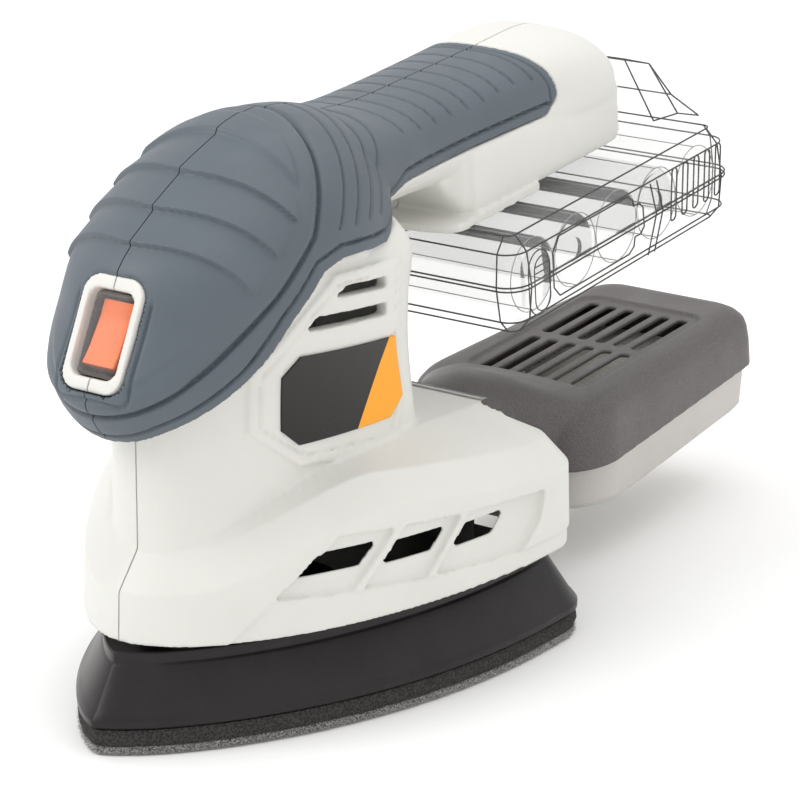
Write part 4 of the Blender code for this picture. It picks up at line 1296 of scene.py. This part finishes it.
def softbox(name, location, target, size, power, colour=(1.0, 1.0, 1.0)):
    data = bpy.data.lights.new(name, "AREA")
    data.shape = "RECTANGLE"
    data.size, data.size_y = size
    data.energy = power
    data.color = colour
    lamp = bpy.data.objects.new(name, data)
    lamp.location = location
    lamp.rotation_euler = (Vector(target) - Vector(location)).to_track_quat("-Z", "Y").to_euler()
    bpy.context.scene.collection.objects.link(lamp)


def make_studio():
    scene = bpy.context.scene
    scene.view_settings.view_transform = "Standard"
    world = bpy.data.worlds.new("studio")
    world.use_nodes = True
    background = world.node_tree.nodes["Background"]
    background.inputs["Color"].default_value = (1.0, 0.995, 0.985, 1.0)
    background.inputs["Strength"].default_value = 1.0
    scene.world = world

    floor_mesh = bmesh.new()
    bmesh.ops.create_grid(floor_mesh, x_segments=1, y_segments=1, size=12.0)
    floor = body(floor_mesh, "floor")
    floor.location.z = -0.0002
    paper = new_material("paper", roughness=0.9, specular_ior_level=0.1)
    tinted(paper, (0.93, 0.93, 0.925), 0.004, 3.0)
    floor.data.materials.append(paper)

    aim = (0.0, 0.03, 0.06)
    softbox("key", (-0.55, -0.75, 0.95), aim, (0.7, 0.7), 5.5)
    softbox("top", (0.1, 0.25, 1.3), aim, (1.2, 1.2), 4.5)
    softbox("side", (1.1, -0.1, 0.5), aim, (0.5, 0.8), 0.4, (1.0, 0.98, 0.95))

    camera = bpy.data.objects.new("camera", bpy.data.cameras.new("camera"))
    camera.data.lens = 144.0
    camera.data.sensor_width = 36.0
    camera.data.clip_start = 0.05
    across = math.cos(CAMERA_RISE)
    back = Vector((across * math.sin(CAMERA_TURN), -across * math.cos(CAMERA_TURN), math.sin(CAMERA_RISE)))
    camera.location = CAMERA_AIM + CAMERA_DISTANCE * back
    camera.rotation_euler = back.to_track_quat("Z", "Y").to_euler()
    scene.collection.objects.link(camera)
    scene.camera = camera


black = black_plastic()
clear_case = see_through("clear_case", (0.80, 0.81, 0.81), 0.07, (0.12, 0.2))
clear_dome = see_through("clear_dome", (0.85, 0.80, 0.78), 0.06, (0.06, 0.12))
edge_ink = ink("edge_ink", (0.07, 0.07, 0.07))
steel = dress_hidden_nodes(black)
make_housing(white_plastic())
make_grips(soft_grip())
make_labels(label_foil())
make_switch(matte("rocker_orange", (0.82, 0.15, 0.012), (0.22, 0.32)), clear_dome)
make_plate(black, foam_material(), pile_material("pile", (0.02, 0.02, 0.02), (0.30, 0.29, 0.28)),
           pile_material("frayed_fibre", (0.22, 0.21, 0.20), (0.80, 0.78, 0.75)))
make_dust_box(lid_plastic(), milky_plastic(), matte("filter_cloth", (0.62, 0.60, 0.56), (0.85, 0.95)))
make_case(clear_case)
make_case_lines(edge_ink)
make_cells(see_through("cell_wrap", (0.80, 0.81, 0.81), 0.06, (0.3, 0.4)),
           ink("pale_ink", (0.28, 0.28, 0.28)))
make_latches(clear_case, edge_ink)
make_screws(steel)
make_studio()
